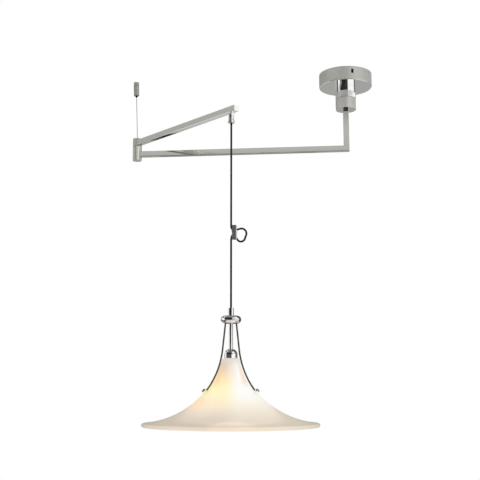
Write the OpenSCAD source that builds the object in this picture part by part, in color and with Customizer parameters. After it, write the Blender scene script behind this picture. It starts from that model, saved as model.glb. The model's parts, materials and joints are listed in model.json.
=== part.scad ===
// Swing arm pendant light, in millimetres.
// +Z is up. The origin is the middle of the ceiling face, on the axis of the stem.
// The fixed arm leaves the stem, the swing arm turns on the elbow above it, and the glass shade hangs from its cord.

/* [Ceiling cup] */
// Outer diameter of the cup against the ceiling
cup_d = 120; // [110:1:150]
// Height of the cup
cup_h = 31; // [28:0.5:36]
// Sheet thickness of the cup
cup_wall = 1.5; // [1:0.1:2]
// Rounding of the cup's lower edge
cup_edge_r = 2; // [0.5:0.1:4]
// Width of the strap that is screwed to the ceiling
strap_w = 24; // [20:1:30]
// Thickness of the strap
strap_t = 2; // [1.5:0.1:3]
// Circle on which the two ceiling screw holes lie
strap_pcd = 70; // [64:1:80]
// Diameter of the ceiling screw holes
strap_hole_d = 5.5; // [4.5:0.1:6.5]
// How far the strap's ears reach below the ceiling
ear_h = 17; // [16:0.5:20]
// Diameter of the two side screws of the cup
side_screw_d = 5; // [4:0.5:6]
// Depth of the side screws below the ceiling
side_screw_z = 11.5; // [10:0.5:12.5]
// Turn of the strap and the side screws about the stem
strap_turn = -81.6; // [-90:0.1:-70]

/* [Stem] */
// Diameter of the stem
stem_d = 46; // [42:0.5:54]
// Height of the fixed sleeve
sleeve_h = 27; // [24:0.5:40]
// Wall of the sleeve and of the hub
stem_wall = 2.5; // [2:0.1:3.5]
// Height of the turning hub
hub_h = 25.5; // [24:0.5:34]
// Thickness of the hub's floor
hub_floor = 4; // [3:0.5:5]
// Thickness of the plate that closes the hub
hub_plate_t = 5; // [4:0.5:6]
// Thickness of the washer on which the hub turns
swivel_washer_t = 0.5; // [0.4:0.1:1]
// Diameter of the hollow spindle
spindle_d = 10; // [9:0.5:12]
// Bore of the spindle for the lead
spindle_bore = 6.4; // [5.5:0.1:7]

/* [Arms] */
// Side of the square tube of both arms
tube_w = 12.7; // [12:0.1:16]
// Wall of the square tube
tube_wall = 1.2; // [1:0.1:1.6]
// Rounding of the square tube's corners
tube_corner_r = 1; // [0.5:0.1:1.5]
// From the hub's lower face down to the middle of the fixed arm
arm_drop = 91.5; // [70:0.5:140]
// Fixed arm, from the stem's axis to the elbow's axis
arm_l = 486; // [420:1:560]
// Direction of the fixed arm, seen from above
arm_turn = 173.85; // [150:0.05:200]
// Angle between the two arms at the elbow
fold = 42.7; // [30:0.1:150]
// Swing arm, from the elbow's axis to the tip
swing_l = 355; // [300:0.5:420]
// From the tip of the swing arm back to the cord's axis
cord_inset = 17; // [14:0.5:30]
// Thickness of the plate that closes the swing arm's tip
tip_plate_t = 3; // [1.5:0.1:4]
// How far the tip plug reaches into the tube
tip_plug_l = 5; // [3:0.5:6]

/* [Elbow] */
// Diameter of both knuckles
knuckle_d = 20.8; // [20:0.1:26]
// Wall of both knuckles
knuckle_wall = 2; // [1.6:0.1:2.5]
// Height of the lower knuckle
lower_knuckle_h = 33.5; // [30:0.5:40]
// How far the lower knuckle reaches below the fixed arm
lower_knuckle_foot = 8.7; // [5:0.1:10]
// Height of the upper knuckle
upper_knuckle_h = 18.6; // [18:0.1:24]
// How far the upper knuckle reaches below the swing arm
upper_knuckle_foot = 1.7; // [1.5:0.1:2.5]
// Thickness of the washer between the knuckles
hinge_washer_t = 0.6; // [0.4:0.1:1]
// Diameter of the hollow hinge pin
pin_d = 10; // [9:0.5:11]
// Bore of the hinge pin for the lead
pin_bore = 6; // [5:0.1:6.5]
// Thickness of the web that holds the pin in the lower knuckle
pin_web = 8.5; // [6:0.5:10]
// Thickness of the ring that keeps the upper knuckle on its pin
pin_ring_t = 1.5; // [1:0.1:2]
// Thickness of the cap on top of the upper knuckle
knuckle_cap_t = 3; // [2.5:0.1:3.5]

/* [Ceiling hanger] */
// Diameter of the wire between elbow and ceiling
wire_d = 1.6; // [1.2:0.1:2]
// Diameter of the ball at the wire's lower end
wire_ball_d = 4.2; // [3.8:0.1:4.4]
// Diameter of the wire gripper
gripper_d = 12.5; // [12:0.1:16]
// Length of the gripper
gripper_l = 24; // [24:0.5:34]
// Wall of the gripper
gripper_wall = 1.7; // [1.4:0.1:2]
// Height of the boss against the ceiling
boss_h = 8; // [7:0.5:12]
// Thread hole in the boss
boss_hole_d = 4.2; // [3.5:0.1:5]
// Depth of the thread hole
boss_hole_l = 6; // [5:0.5:6]
// How far the boss lies beyond the elbow's axis
boss_out = 5.2; // [0:0.1:8]
// Diameter of the release button
button_d = 5; // [4.5:0.1:6]
// How far the button shows below the gripper
button_out = 3.4; // [3:0.1:5]

/* [Cord] */
// Diameter of the cord
cord_d = 4; // [3.6:0.1:4.4]
// Diameter of the leads inside the arms
lead_d = 3.6; // [3:0.1:4]
// From the cord's upper pivot down to its lower one
cord_drop = 381.8; // [330:0.5:520]
// Diameter of the cord gland
gland_d = 11.6; // [11:0.1:14]
// Height of the gland's body
gland_h = 17.5; // [15:0.5:24]
// Bore of the gland for its bush
gland_bore = 8; // [7:0.1:8.5]
// Diameter of the ring under the gland
gland_ring_d = 14; // [13:0.1:17]
// Height of the ring
gland_ring_h = 5.2; // [4.5:0.1:7]
// Diameter of the gland's screw
gland_screw_d = 3.4; // [2.5:0.1:4]
// Turn of the gland's screw, seen from above
gland_screw_turn = -108; // [-180:1:0]
// Height of the cord adjuster
adjuster_h = 29.4; // [27:0.2:34]
// Thickness of the cord adjuster
adjuster_t = 6.2; // [5.5:0.1:7]
// Width of the cord adjuster
adjuster_w = 11; // [9:0.5:14]
// Diameter of the adjuster's holes
adjuster_hole_d = 5.2; // [5:0.1:5.6]

/* [Pendant crown] */
// Diameter of the cord nipple
nipple_d = 11.5; // [11:0.1:14]
// Height of the nipple above the crown
nipple_h = 15.4; // [11:0.2:18]
// Diameter of the crown
crown_d = 40.4; // [38:0.2:50]
// Height of the crown, which is rounded all over its edge
crown_h = 15.2; // [14:0.2:18]
// Diameter of the centre tube
stay_d = 8; // [7:0.1:9]
// Bore of the centre tube
stay_bore = 5.6; // [4.6:0.1:6]
// Length of the centre tube between crown and dome
stay_l = 49.9; // [40:0.1:70]
// Depth of the sockets that hold the nipple, the centre tube and the rods
socket_l = 5; // [4:0.5:6]
// Diameter of the three rods
rod_d = 3.4; // [3:0.1:3.5]
// Rod sockets, from the axis
rod_start_r = 12.4; // [11:0.1:13.5]
// Slope of the rods where they leave the crown
rod_start_slope = 7; // [3:0.5:9]

/* [Lamp] */
// Diameter of the dome over the neck
dome_d = 25.8; // [25:0.2:32]
// Height of the dome
dome_h = 18; // [16:0.5:22]
// Wall of the dome
dome_wall = 1.4; // [1:0.1:1.8]
// Diameter of the lampholder
holder_d = 20; // [18:0.5:21]
// Length of the lampholder
holder_l = 28; // [24:0.5:32]
// Diameter of the lamp
lamp_d = 14; // [12:0.5:16]
// Length of the lamp below its holder
lamp_l = 44; // [38:0.5:50]

/* [Glass shade] */
// Height of the shade's outline, from the neck to the rim
shade_h = 123.7; // [110:0.1:140]
// Outer diameter of the neck
neck_d = 32.6; // [32:0.1:38]
// Radius where the outline ends and the lip starts
rim_r = 169.5; // [150:0.5:190]
// Glass thickness at the neck
neck_wall = 3.5; // [3:0.1:4]
// Glass thickness at the rim
rim_wall = 7; // [5:0.1:8]
// How far the outline keeps falling from the neck
neck_pull = 55; // [45:1:65]
// How far the outline spreads over that fall
neck_splay = 18.4; // [14:0.1:22]
// How far the outline runs in from the rim
rim_pull = 86.9; // [70:0.1:95]
// How far it rises over that run
rim_rise = 7.4; // [4:0.1:12]
// Place of the clips along the outline, from neck to rim
clip_at = 0.407; // [0.35:0.001:0.43]
// Diameter of the clip barrels
clip_d = 8.6; // [8:0.1:10]
// Length of the clip barrels
clip_l = 8; // [7.5:0.1:10]
// Diameter of the clip screws
clip_screw_d = 4; // [3:0.1:4.2]
// Thickness of the soft washers on both sides of the glass
clip_washer_t = 0.5; // [0.4:0.1:0.8]

/* [Fits] */
// Radial clearance of a turning or sliding fit
run_fit = 0.05; // [0.02:0.01:0.1]
// Clearance of pieces that are fastened in each other
seat_fit = 0.03; // [0.01:0.01:0.1]
// Gap between pieces that move past each other
free_gap = 0.3; // [0.2:0.05:0.5]
// Room at the cord's pivots
pivot_gap = 1; // [0.8:0.1:1.2]

/* [Hidden] */

$fn = 64;
over = 1;
steel = [0.72, 0.72, 0.70];
bright = [0.82, 0.82, 0.80];
black = [0.06, 0.06, 0.06];
nylon = [0.25, 0.25, 0.26];
brass = [0.80, 0.66, 0.32];
ceramic = [0.93, 0.92, 0.88];
opal = [0.94, 0.91, 0.85];

// Ceiling cup and stem, as depths below the ceiling
sleeve_top = cup_h;
sleeve_end = sleeve_top + sleeve_h;
hub_top = sleeve_end + swivel_washer_t;
hub_end = hub_top + hub_h;
cup_inner_r = cup_d / 2 - cup_wall;
strap_half = sqrt(pow(cup_inner_r - free_gap, 2) - pow(strap_w / 2, 2));
side_screw_l = cup_wall + 7;
stem_web = 3;
boss_r = spindle_d / 2 + 4;
hub_inner_r = stem_d / 2 - stem_wall;
nut_h = 6;
nut_d = 1.8 * spindle_d;
nut_top = hub_top + hub_plate_t + run_fit;
rivet_d = spindle_d - 2;
spindle_end = nut_top + nut_h + 1;
flange_d = 2.2 * spindle_d;
flange_t = 3;
block_l = 30;
block_w = 15;
block_h = 11;
block_start = flange_d / 2 + 0.5;
block_screw_d = 3;
lead_entry = strap_t + flange_t + 4.5;
lead_bend = 6;

// Arms, as depths below the ceiling
arm_z = hub_end + arm_drop;
tube_top = hub_end - hub_floor;
tube_in = tube_w - 2 * tube_wall;
lower_knuckle_end = arm_z + tube_w / 2 + lower_knuckle_foot;
lower_knuckle_top = lower_knuckle_end - lower_knuckle_h;
upper_knuckle_end = lower_knuckle_top - hinge_washer_t;
upper_knuckle_top = upper_knuckle_end - upper_knuckle_h;
swing_z = upper_knuckle_end - upper_knuckle_foot - tube_w / 2;
knuckle_in_r = knuckle_d / 2 - knuckle_wall;
turn_web = upper_knuckle_foot - 0.1;
pin_start = lower_knuckle_top + pin_web;
ring_end = upper_knuckle_end - turn_web - free_gap;
ring_top = ring_end - pin_ring_t;
pin_top = ring_top - 0.4;
cap_end = upper_knuckle_top + knuckle_cap_t;
arm_bend = 8;
swing_bend = 5.4;

// Ceiling hanger, measured up the wire from its ball
ball_z = cap_end + 1.5;
socket_ball_d = 5;
socket_depth = 3.6;
lean = atan(boss_out / (ball_z - boss_h - socket_depth));
gripper_top = (ball_z - boss_h - 0.4) / cos(lean);
gripper_end = gripper_top - gripper_l;
gripper_in_r = gripper_d / 2 - gripper_wall;
shoulder = 4;
button_flange_t = 2;
spring_wire_d = 0.7;
spring_turns = 4;
jaw_l = 4;
gripper_room = 12.8;
jaw_start = gripper_end + shoulder + gripper_room - jaw_l;
spring_l = jaw_start - gripper_end - shoulder - button_flange_t - 2 * free_gap;

// Cord axis, gland and the cord's pivots
cord_out = swing_l - cord_inset;
swing_turn = arm_turn + 180 - fold;
cord_x = arm_l * cos(arm_turn) + cord_out * cos(swing_turn);
cord_y = arm_l * sin(arm_turn) + cord_out * sin(swing_turn);
gland_top = swing_z + tube_w / 2;
gland_end = gland_top + gland_h;
ring_mouth = gland_end + gland_ring_h;
pivot_z = ring_mouth - 2;
mouth_r = cord_d / 2 + 0.6;
flare_r = 4.6;
bush_l = 12;

// Adjuster, from the upper pivot: its middle, and where the cord passes its faces
adjuster_x = 6.4;
adjuster_z = 228.5;
upper_hole_z = -223.4;
lower_hole_left_z = -232.6;
lower_hole_right_z = -238.4;
adjuster_left = adjuster_x - adjuster_t / 2;
adjuster_right = adjuster_x + adjuster_t / 2;

// Spare cord: out of the bar, round an upper and a lower arc, and back into the bar
loop_top_r = 10;
loop_low_r = 8.2;
loop_top = [20.7, -230.7];
loop_low = [19.6, -239.1];
loop_start = 107;
loop_end = -150;
loop_between = atan2(loop_low[1] - loop_top[1], loop_low[0] - loop_top[0])
    + acos((loop_top_r - loop_low_r) / norm(loop_low - loop_top));
// A straight run of the spare cord that touches the arc at an angle
function loop_run(mid, r, a, way) =
    mid + r * [cos(a), sin(a)] + way * [sin(a), -cos(a)];
loop_in_way = (adjuster_right + 0.3 - loop_top[0] - loop_top_r * cos(loop_start)) / sin(loop_start);
loop_out_way = (adjuster_right + 1.9 - loop_low[0] - loop_low_r * cos(loop_end)) / sin(loop_end);

// Routes of the cord, from the upper pivot: along X, across and up
hook_r = 9;
hook_z = -216.4;
upper_route = concat(
    [for (z = [0:-12:-204]) [0, 0, z]], [[0, 0, hook_z + 5]],
    arc_points(hook_r, hook_z, hook_r, 180, 180 + acos(1 - adjuster_left / hook_r) - 4, 6));
loop_route = [for (p = concat(
    [loop_run(loop_top, loop_top_r, loop_start, loop_in_way), loop_run(loop_top, loop_top_r, loop_start, loop_in_way / 2)],
    [for (i = [0:13]) loop_run(loop_top, loop_top_r, loop_start + (loop_between - loop_start) * i / 13, 0)],
    [for (i = [0:12]) loop_run(loop_low, loop_low_r, loop_between + (loop_end - loop_between) * i / 12, 0)],
    [loop_run(loop_low, loop_low_r, loop_end, loop_out_way)])) [p[0], 0, p[1]]];
lower_route = concat(
    [[0.9, 0, -236.4], [0.7, 0, -238.4], [0.4, 0, -240.6], [0.1, 0, -243.4], [0, 0, -247]],
    [for (z = [-258:-12:-366]) [0, 0, z]], [[0, 0, -cord_drop]]);

// The least gap between stretches of the spare cord that lie apart along it
function way_between(i, j) = i >= j ? 0 : norm(loop_route[i + 1] - loop_route[i]) + way_between(i + 1, j);
loop_gap = min([for (i = [0:len(loop_route) - 1], j = [i + 1:1:len(loop_route) - 1])
    if (way_between(i, j) > 3 * cord_d) norm(loop_route[i] - loop_route[j])]) - cord_d;
echo(least_gap_of_the_spare_cord = loop_gap);
cord_sides = 8;

// Pendant, as depths below the ceiling
low_pivot_z = pivot_z + cord_drop;
nipple_top = low_pivot_z - 1.5;
crown_top = nipple_top + nipple_h;
crown_end = crown_top + crown_h;
dome_top = crown_end + stay_l;
dome_end = dome_top + dome_h;
gasket_t = 0.6;
neck_z = dome_end + gasket_t;
plate_top = dome_top + dome_wall + 4.6;
plate_t = 1.5;
holder_top = plate_top + plate_t;
holder_end = holder_top + holder_l;
lamp_end = holder_end + lamp_l;
pin_pitch = 7;
pin_wire_d = 1.2;
core_d = 4;

// Outline of the shade: points as radius and depth below the neck
outline_a = [neck_d / 2, 0];
outline_b = [neck_d / 2 + neck_splay, neck_pull];
outline_c = [rim_r - rim_pull, shade_h - rim_rise];
outline_d = [rim_r, shade_h];
outline_steps = 28;
lip_steps = 8;

function outline(t) =
    pow(1 - t, 3) * outline_a + 3 * pow(1 - t, 2) * t * outline_b
    + 3 * (1 - t) * t * t * outline_c + t * t * t * outline_d;
function outline_slope(t) =
    let (v = pow(1 - t, 2) * (outline_b - outline_a) + 2 * (1 - t) * t * (outline_c - outline_b)
        + t * t * (outline_d - outline_c))
    v / norm(v);
// Away from the glass, outwards and up
function outline_normal(t) = let (v = outline_slope(t)) [v[1], -v[0]];
function glass_wall(t) = neck_wall + (rim_wall - neck_wall) * t;
function inner_line(t) = outline(t) - glass_wall(t) * outline_normal(t);

// Clips and rods in the plane of the pendant's axis
clip_foot = outline(clip_at);
clip_dir = outline_normal(clip_at);
// Room that the curved glass needs under the flat washers
clip_room = 0.18;
// Ways of the rods round the cord: left and right in front, and one behind
rod_ways = [210, 330, 90];
clip_seat = clip_foot + (clip_room + clip_washer_t) * clip_dir;
rod_level = 0.26 * clip_l;
rod_in = 0.235 * clip_d;
rod_end_slope = atan2(outline_slope(clip_at)[0], outline_slope(clip_at)[1]);
rod_end = clip_seat + rod_level * clip_dir - (clip_d / 2 - rod_in) * outline_slope(clip_at);
rod_top = [rod_start_r, crown_end - neck_z];
rod_run = rod_end - rod_top;
rod_turn = cos(rod_end_slope - rod_start_slope) - 1;
rod_bend_r = (sin(rod_start_slope) * rod_run[1] - cos(rod_start_slope) * rod_run[0]) / rod_turn;
rod_straight = (rod_run[0] * (sin(rod_end_slope) - sin(rod_start_slope))
    - rod_run[1] * (cos(rod_start_slope) - cos(rod_end_slope))) / rod_turn;
clip_hole_d = 1.35 * clip_screw_d;
clip_screw_head = clip_screw_d / 2;
screw_depth = 0.65 * clip_l;

// A tube along a route; each point has a side vector square to the route
function route_way(p, i) = let (v = p[min(i + 1, len(p) - 1)] - p[max(i - 1, 0)]) v / norm(v);
module swept_tube(route, sides, r, n) {
    rings = [for (i = [0:len(route) - 1], k = [0:n - 1])
        let (a = 360 * k / n, s = sides[i], u = cross(route_way(route, i), s))
        route[i] + r * (cos(a) * s + sin(a) * u)];
    last = (len(route) - 1) * n;
    skin = [for (i = [0:len(route) - 2], k = [0:n - 1])
        let (p = i * n + k, q = i * n + (k + 1) % n)
        each [[p, q, p + n], [q, q + n, p + n]]];
    start = [[for (k = [0:n - 1]) n - 1 - k]];
    finish = [[for (k = [0:n - 1]) last + k]];
    polyhedron(points = rings, faces = concat(skin, start, finish));
}
module flat_tube(route, r, n) {
    swept_tube(route, [for (p = route) [0, 1, 0]], r, n);
}
// Points of an arc in the X-Z plane
function arc_points(cx, cz, r, a0, a1, steps) =
    [for (i = [0:steps]) let (a = a0 + (a1 - a0) * i / steps) [cx + r * cos(a), 0, cz + r * sin(a)]];

// Frames of the fixed arm, the elbow, the swing arm, the wire and the cord
module on_arm() {
    rotate(arm_turn) translate([0, 0, -arm_z]) children();
}
module on_elbow() {
    rotate(arm_turn) translate([arm_l, 0, 0]) children();
}
module on_swing() {
    on_elbow() rotate(180 - fold) translate([0, 0, -swing_z]) children();
}
module on_wire() {
    on_elbow() translate([0, 0, -ball_z]) rotate([0, lean, 0]) children();
}
module on_cord() {
    translate([cord_x, cord_y, 0]) children();
}
module on_clip(way) {
    on_cord() translate([0, 0, -neck_z]) rotate(way) translate([clip_foot[0], 0, -clip_foot[1]])
        rotate([0, atan2(clip_dir[0], -clip_dir[1]), 0]) children();
}
module ring(outer_r, inner_r, h) {
    difference() {
        cylinder(r = outer_r, h = h);
        translate([0, 0, -over]) cylinder(r = inner_r, h = h + 2 * over);
    }
}
module square_bar(w, l) {
    translate([0, -w / 2, -w / 2]) cube([l, w, w]);
}
// The same with rounded long edges, as drawn tube has
module tube_bar(w, l) {
    inner = w - 2 * tube_corner_r;
    rotate([90, 0, 90]) linear_extrude(l) {
        square([inner, w], center = true);
        square([w, inner], center = true);
        for (x = [-1, 1], y = [-1, 1]) translate([x * inner / 2, y * inner / 2]) circle(r = tube_corner_r);
    }
}
module socket_screw(d, l) {
    difference() {
        cylinder(d = d, h = l);
        translate([0, 0, l - 1.5]) cylinder(d = 0.55 * d, h = 1.5 + over, $fn = 6);
    }
}

module ceiling_strap() {
    color(steel) rotate(strap_turn) difference() {
        union() {
            translate([-strap_half, -strap_w / 2, -strap_t]) cube([2 * strap_half, strap_w, strap_t]);
            for (side = [0, 180]) rotate(side)
                translate([strap_half - strap_t, -strap_w / 2, -ear_h]) cube([strap_t, strap_w, ear_h]);
        }
        for (side = [-1, 1]) translate([side * strap_pcd / 2, 0, -strap_t - over])
            cylinder(d = strap_hole_d, h = strap_t + 2 * over);
        translate([0, 0, -strap_t - over]) cylinder(r = rivet_d / 2 + seat_fit, h = strap_t + 2 * over);
        for (side = [0, 180]) rotate(side) translate([strap_half - strap_t - over, 0, -side_screw_z])
            rotate([0, 90, 0]) cylinder(r = side_screw_d / 2 + seat_fit, h = strap_t + 2 * over);
    }
}
module canopy_cup() {
    outer = cup_d / 2;
    color(steel) difference() {
        rotate_extrude() difference() {
            union() {
                translate([0, -cup_h + cup_edge_r]) square([outer, cup_h - cup_edge_r]);
                translate([0, -cup_h]) square([outer - cup_edge_r, cup_h]);
                translate([outer - cup_edge_r, -cup_h + cup_edge_r]) circle(r = cup_edge_r);
            }
            translate([-over, -cup_h + cup_wall]) square([cup_inner_r + over, cup_h]);
            translate([-over, -cup_h - over]) square([spindle_d / 2 + seat_fit + over, cup_h]);
        }
        for (side = [0, 180]) rotate(strap_turn + side) translate([cup_inner_r - over, 0, -side_screw_z])
            rotate([0, 90, 0]) cylinder(r = side_screw_d / 2 + seat_fit, h = cup_wall + 2 * over);
    }
}
module canopy_screws() {
    color(black) for (side = [0, 180]) rotate(strap_turn + side)
        translate([cup_d / 2 - 0.5 - side_screw_l, 0, -side_screw_z]) rotate([0, 90, 0])
            socket_screw(side_screw_d, side_screw_l);
}
module fixed_sleeve() {
    color(bright) translate([0, 0, -sleeve_end]) difference() {
        cylinder(d = stem_d, h = sleeve_h);
        translate([0, 0, -over]) ring(stem_d / 2 - stem_wall, boss_r, sleeve_h - stem_web + over);
        translate([0, 0, -over]) cylinder(r = spindle_d / 2 + seat_fit, h = sleeve_h + 2 * over);
    }
}
module spindle() {
    color(steel) difference() {
        union() {
            translate([0, 0, -spindle_end]) cylinder(d = spindle_d, h = spindle_end - strap_t);
            translate([0, 0, -strap_t - over]) cylinder(d = rivet_d, h = strap_t + over - 0.2);
            translate([0, 0, -strap_t - flange_t]) cylinder(d = flange_d, h = flange_t);
            translate([0, 0, -cup_h + cup_wall]) cylinder(d = flange_d, h = flange_t);
        }
        translate([0, 0, -spindle_end - over]) cylinder(d = spindle_bore, h = spindle_end - lead_entry + over + 3);
        rotate(strap_turn) translate([0, 0, -lead_entry - 1]) rotate([0, 90, 0])
            cylinder(d = spindle_bore, h = spindle_d / 2 + over);
    }
}
module spindle_nut() {
    color(brass) translate([0, 0, -nut_top - nut_h]) difference() {
        cylinder(d = nut_d, h = nut_h, $fn = 6);
        translate([0, 0, -over]) cylinder(r = spindle_d / 2 + seat_fit, h = nut_h + 2 * over);
    }
}
module swivel_washer() {
    color(nylon) translate([0, 0, -hub_top]) ring(stem_d / 2 - 0.6, spindle_d / 2 + run_fit, swivel_washer_t);
}
module terminal_block() {
    color(ceramic) rotate(strap_turn) translate([block_start, -block_l / 2, -strap_t - block_h]) difference() {
        cube([block_w, block_l, block_h]);
        for (pole = [-1, 0, 1], row = [0.28, 0.72])
            translate([row * block_w, block_l / 2 + pole * block_l / 3, -over])
                cylinder(r = block_screw_d / 2 + seat_fit, h = 6 + over);
        for (pole = [-1, 0, 1]) translate([-over, block_l / 2 + pole * block_l / 3, block_h - 3])
            rotate([0, 90, 0]) cylinder(d = 2.6, h = block_w + 2 * over);
    }
}
module terminal_screws() {
    color(brass) rotate(strap_turn) for (pole = [-1, 0, 1], row = [0.28, 0.72])
        translate([block_start + row * block_w, pole * block_l / 3, -strap_t - block_h + 1]) difference() {
            cylinder(d = block_screw_d, h = 5);
            translate([-block_screw_d, -0.3, -over]) cube([2 * block_screw_d, 0.6, over + 0.8]);
        }
}
module feed_lead() {
    color(black) rotate(strap_turn) flat_tube(concat(
        [[block_start - free_gap, 0, -lead_entry], [lead_bend, 0, -lead_entry]],
        [for (p = arc_points(lead_bend, -lead_entry - lead_bend, lead_bend, 105, 180, 5)) p],
        [[0, 0, -cup_h], [0, 0, -spindle_end]]), lead_d / 2, 8);
}

module swivel_hub() {
    color(steel) translate([0, 0, -hub_end]) difference() {
        cylinder(d = stem_d, h = hub_h);
        translate([0, 0, hub_floor]) cylinder(r = hub_inner_r, h = hub_h);
        rotate(arm_turn) translate([0, 0, -over]) rotate([0, -90, 0])
            square_bar_cut(hub_floor + 2 * over);
    }
}
// The cutter for a square tube, standing on its end
module square_bar_cut(l) {
    tube_bar(tube_w + 2 * seat_fit, l);
}
module hub_plate() {
    color(steel) translate([0, 0, -hub_top - hub_plate_t])
        ring(hub_inner_r - seat_fit, spindle_d / 2 + run_fit, hub_plate_t);
}
module drop_tube() {
    color(steel) rotate(arm_turn) difference() {
        translate([0, 0, -arm_z - tube_w / 2]) rotate([0, -90, 0])
            tube_bar(tube_w, arm_z + tube_w / 2 - tube_top + 2);
        translate([0, 0, -arm_z - tube_w]) rotate([0, -90, 0]) square_bar(tube_in, arm_z);
        mitre_cut(-1);
    }
}
module main_arm_tube() {
    color(steel) difference() {
        on_arm() difference() {
            translate([-tube_w / 2, 0, 0]) tube_bar(tube_w, arm_l);
            translate([-tube_w, 0, 0]) square_bar(tube_in, arm_l + tube_w);
            translate([arm_l, 0, -tube_w]) cylinder(r = knuckle_in_r, h = 2 * tube_w);
        }
        rotate(arm_turn) mitre_cut(1);
    }
}
// The half space on one side of the mitre between drop tube and fixed arm
module mitre_cut(side) {
    big = 3 * tube_w;
    translate([0, 0, -arm_z]) rotate([0, -45, 0])
        translate([-big, -big, side < 0 ? -2 * big : 0]) cube([2 * big, 2 * big, 2 * big]);
}
module lower_knuckle() {
    color(steel) on_elbow() difference() {
        translate([0, 0, -lower_knuckle_end]) cylinder(d = knuckle_d, h = lower_knuckle_h);
        translate([0, 0, -lower_knuckle_end + 3])
            cylinder(r = knuckle_in_r, h = lower_knuckle_h - 3 - pin_web);
        translate([0, 0, -pin_start - over]) cylinder(r = pin_d / 2 + seat_fit, h = pin_web + 2 * over);
        translate([0, 0, -arm_z]) rotate(180) square_bar_cut(knuckle_d);
    }
}
module hinge_pin() {
    color(bright) on_elbow() translate([0, 0, -pin_start]) ring(pin_d / 2, pin_bore / 2, pin_start - pin_top);
}
module hinge_washer() {
    color(nylon) on_elbow() translate([0, 0, -lower_knuckle_top])
        ring(knuckle_d / 2 - 0.8, pin_d / 2 + run_fit, hinge_washer_t);
}
module pin_ring() {
    color(steel) on_elbow() translate([0, 0, -ring_end]) ring(pin_d / 2 + 2, pin_d / 2 + seat_fit, pin_ring_t);
}
module arm_lead() {
    rise = arm_z - spindle_end - 0.5;
    color(black) on_arm() flat_tube(concat(
        [[0, 0, rise], [0, 0, rise / 2]],
        arc_points(arm_bend, arm_bend, arm_bend, 180, 270, 6),
        [for (i = [1:3]) [arm_bend + i * (arm_l - 2 * arm_bend) / 4, 0, 0]],
        arc_points(arm_l - arm_bend, arm_bend, arm_bend, 270, 360, 6),
        [[arm_l, 0, arm_z - pin_top - 0.4]]), lead_d / 2, 8);
}
module support_wire() {
    color(bright) on_wire() cylinder(d = wire_d, h = jaw_start + jaw_l - 0.3);
}
module wire_ball() {
    color(bright) on_wire() difference() {
        sphere(d = wire_ball_d);
        cylinder(r = wire_d / 2, h = wire_ball_d);
    }
}
module ceiling_boss() {
    color(steel) on_elbow() translate([boss_out, 0, 0]) difference() {
        union() {
            translate([0, 0, -boss_h]) cylinder(d = gripper_d, h = boss_h);
            translate([0, 0, -boss_h - 2]) cylinder(d = 2.8, h = 2 + over);
            translate([0, 0, -boss_h - socket_depth]) sphere(d = socket_ball_d);
        }
        translate([0, 0, -boss_hole_l]) cylinder(d = boss_hole_d, h = boss_hole_l + over);
    }
}
module gripper_body() {
    color(steel) difference() {
        on_wire() difference() {
            translate([0, 0, gripper_end]) cylinder(d = gripper_d, h = gripper_l);
            translate([0, 0, gripper_end + shoulder]) cylinder(r = gripper_in_r, h = gripper_room);
            translate([0, 0, gripper_end - over]) cylinder(r = button_d / 2 + run_fit, h = shoulder + 2 * over);
        }
        on_elbow() translate([boss_out, 0, -boss_h - socket_depth]) {
            sphere(d = socket_ball_d + 2 * seat_fit);
            cylinder(d = 3.6, h = socket_depth + over);
        }
    }
}
module gripper_jaws() {
    color(brass) on_wire() translate([0, 0, jaw_start])
        difference() {
            ring(gripper_in_r - free_gap, wire_d / 2 + seat_fit, jaw_l);
            translate([-0.2, -gripper_d, -over]) cube([0.4, 2 * gripper_d, jaw_l + 2 * over]);
        }
}
module gripper_spring() {
    coil_r = gripper_in_r - spring_wire_d / 2 - 2 * free_gap;
    rise = spring_l - spring_wire_d - free_gap;
    turns = [for (i = [0:12 * spring_turns]) 30 * i];
    color(steel) on_wire()
        translate([0, 0, gripper_end + shoulder + button_flange_t + free_gap + spring_wire_d / 2]) swept_tube(
            [for (a = turns) [coil_r * cos(a), coil_r * sin(a), rise * a / (360 * spring_turns)]],
            [for (a = turns) [cos(a), sin(a), 0]], spring_wire_d / 2, 6);
}
module release_button() {
    color(black) on_wire() difference() {
        union() {
            translate([0, 0, gripper_end - button_out])
                cylinder(d = button_d, h = button_out + shoulder + over);
            translate([0, 0, gripper_end + shoulder + run_fit])
                cylinder(r = gripper_in_r - free_gap, h = button_flange_t - run_fit);
        }
        cylinder(r = wire_d / 2 + run_fit, h = gripper_top);
    }
}

module upper_knuckle() {
    color(steel) on_elbow() difference() {
        translate([0, 0, -upper_knuckle_end]) cylinder(d = knuckle_d, h = upper_knuckle_h);
        translate([0, 0, -upper_knuckle_end + turn_web]) cylinder(r = knuckle_in_r, h = upper_knuckle_h);
        translate([0, 0, -upper_knuckle_end - over]) cylinder(r = pin_d / 2 + run_fit, h = turn_web + 2 * over);
        translate([0, 0, -swing_z]) rotate(180 - fold) square_bar_cut(knuckle_d);
    }
}
module knuckle_cap() {
    color(steel) on_elbow() difference() {
        translate([0, 0, -cap_end]) cylinder(r = knuckle_in_r - seat_fit, h = knuckle_cap_t);
        translate([0, 0, -cap_end - over]) cylinder(d = 2.8, h = knuckle_cap_t + 2 * over);
        translate([0, 0, -ball_z]) sphere(d = wire_ball_d + 0.4);
    }
}
module swing_arm_tube() {
    color(steel) on_swing() difference() {
        tube_bar(tube_w, swing_l - tip_plate_t);
        square_bar(tube_in, swing_l + over);
        translate([0, 0, -tube_w]) cylinder(r = knuckle_in_r, h = 2 * tube_w);
        translate([cord_out, 0, -tube_w]) cylinder(r = gland_bore / 2 + seat_fit, h = tube_w);
    }
}
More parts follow.
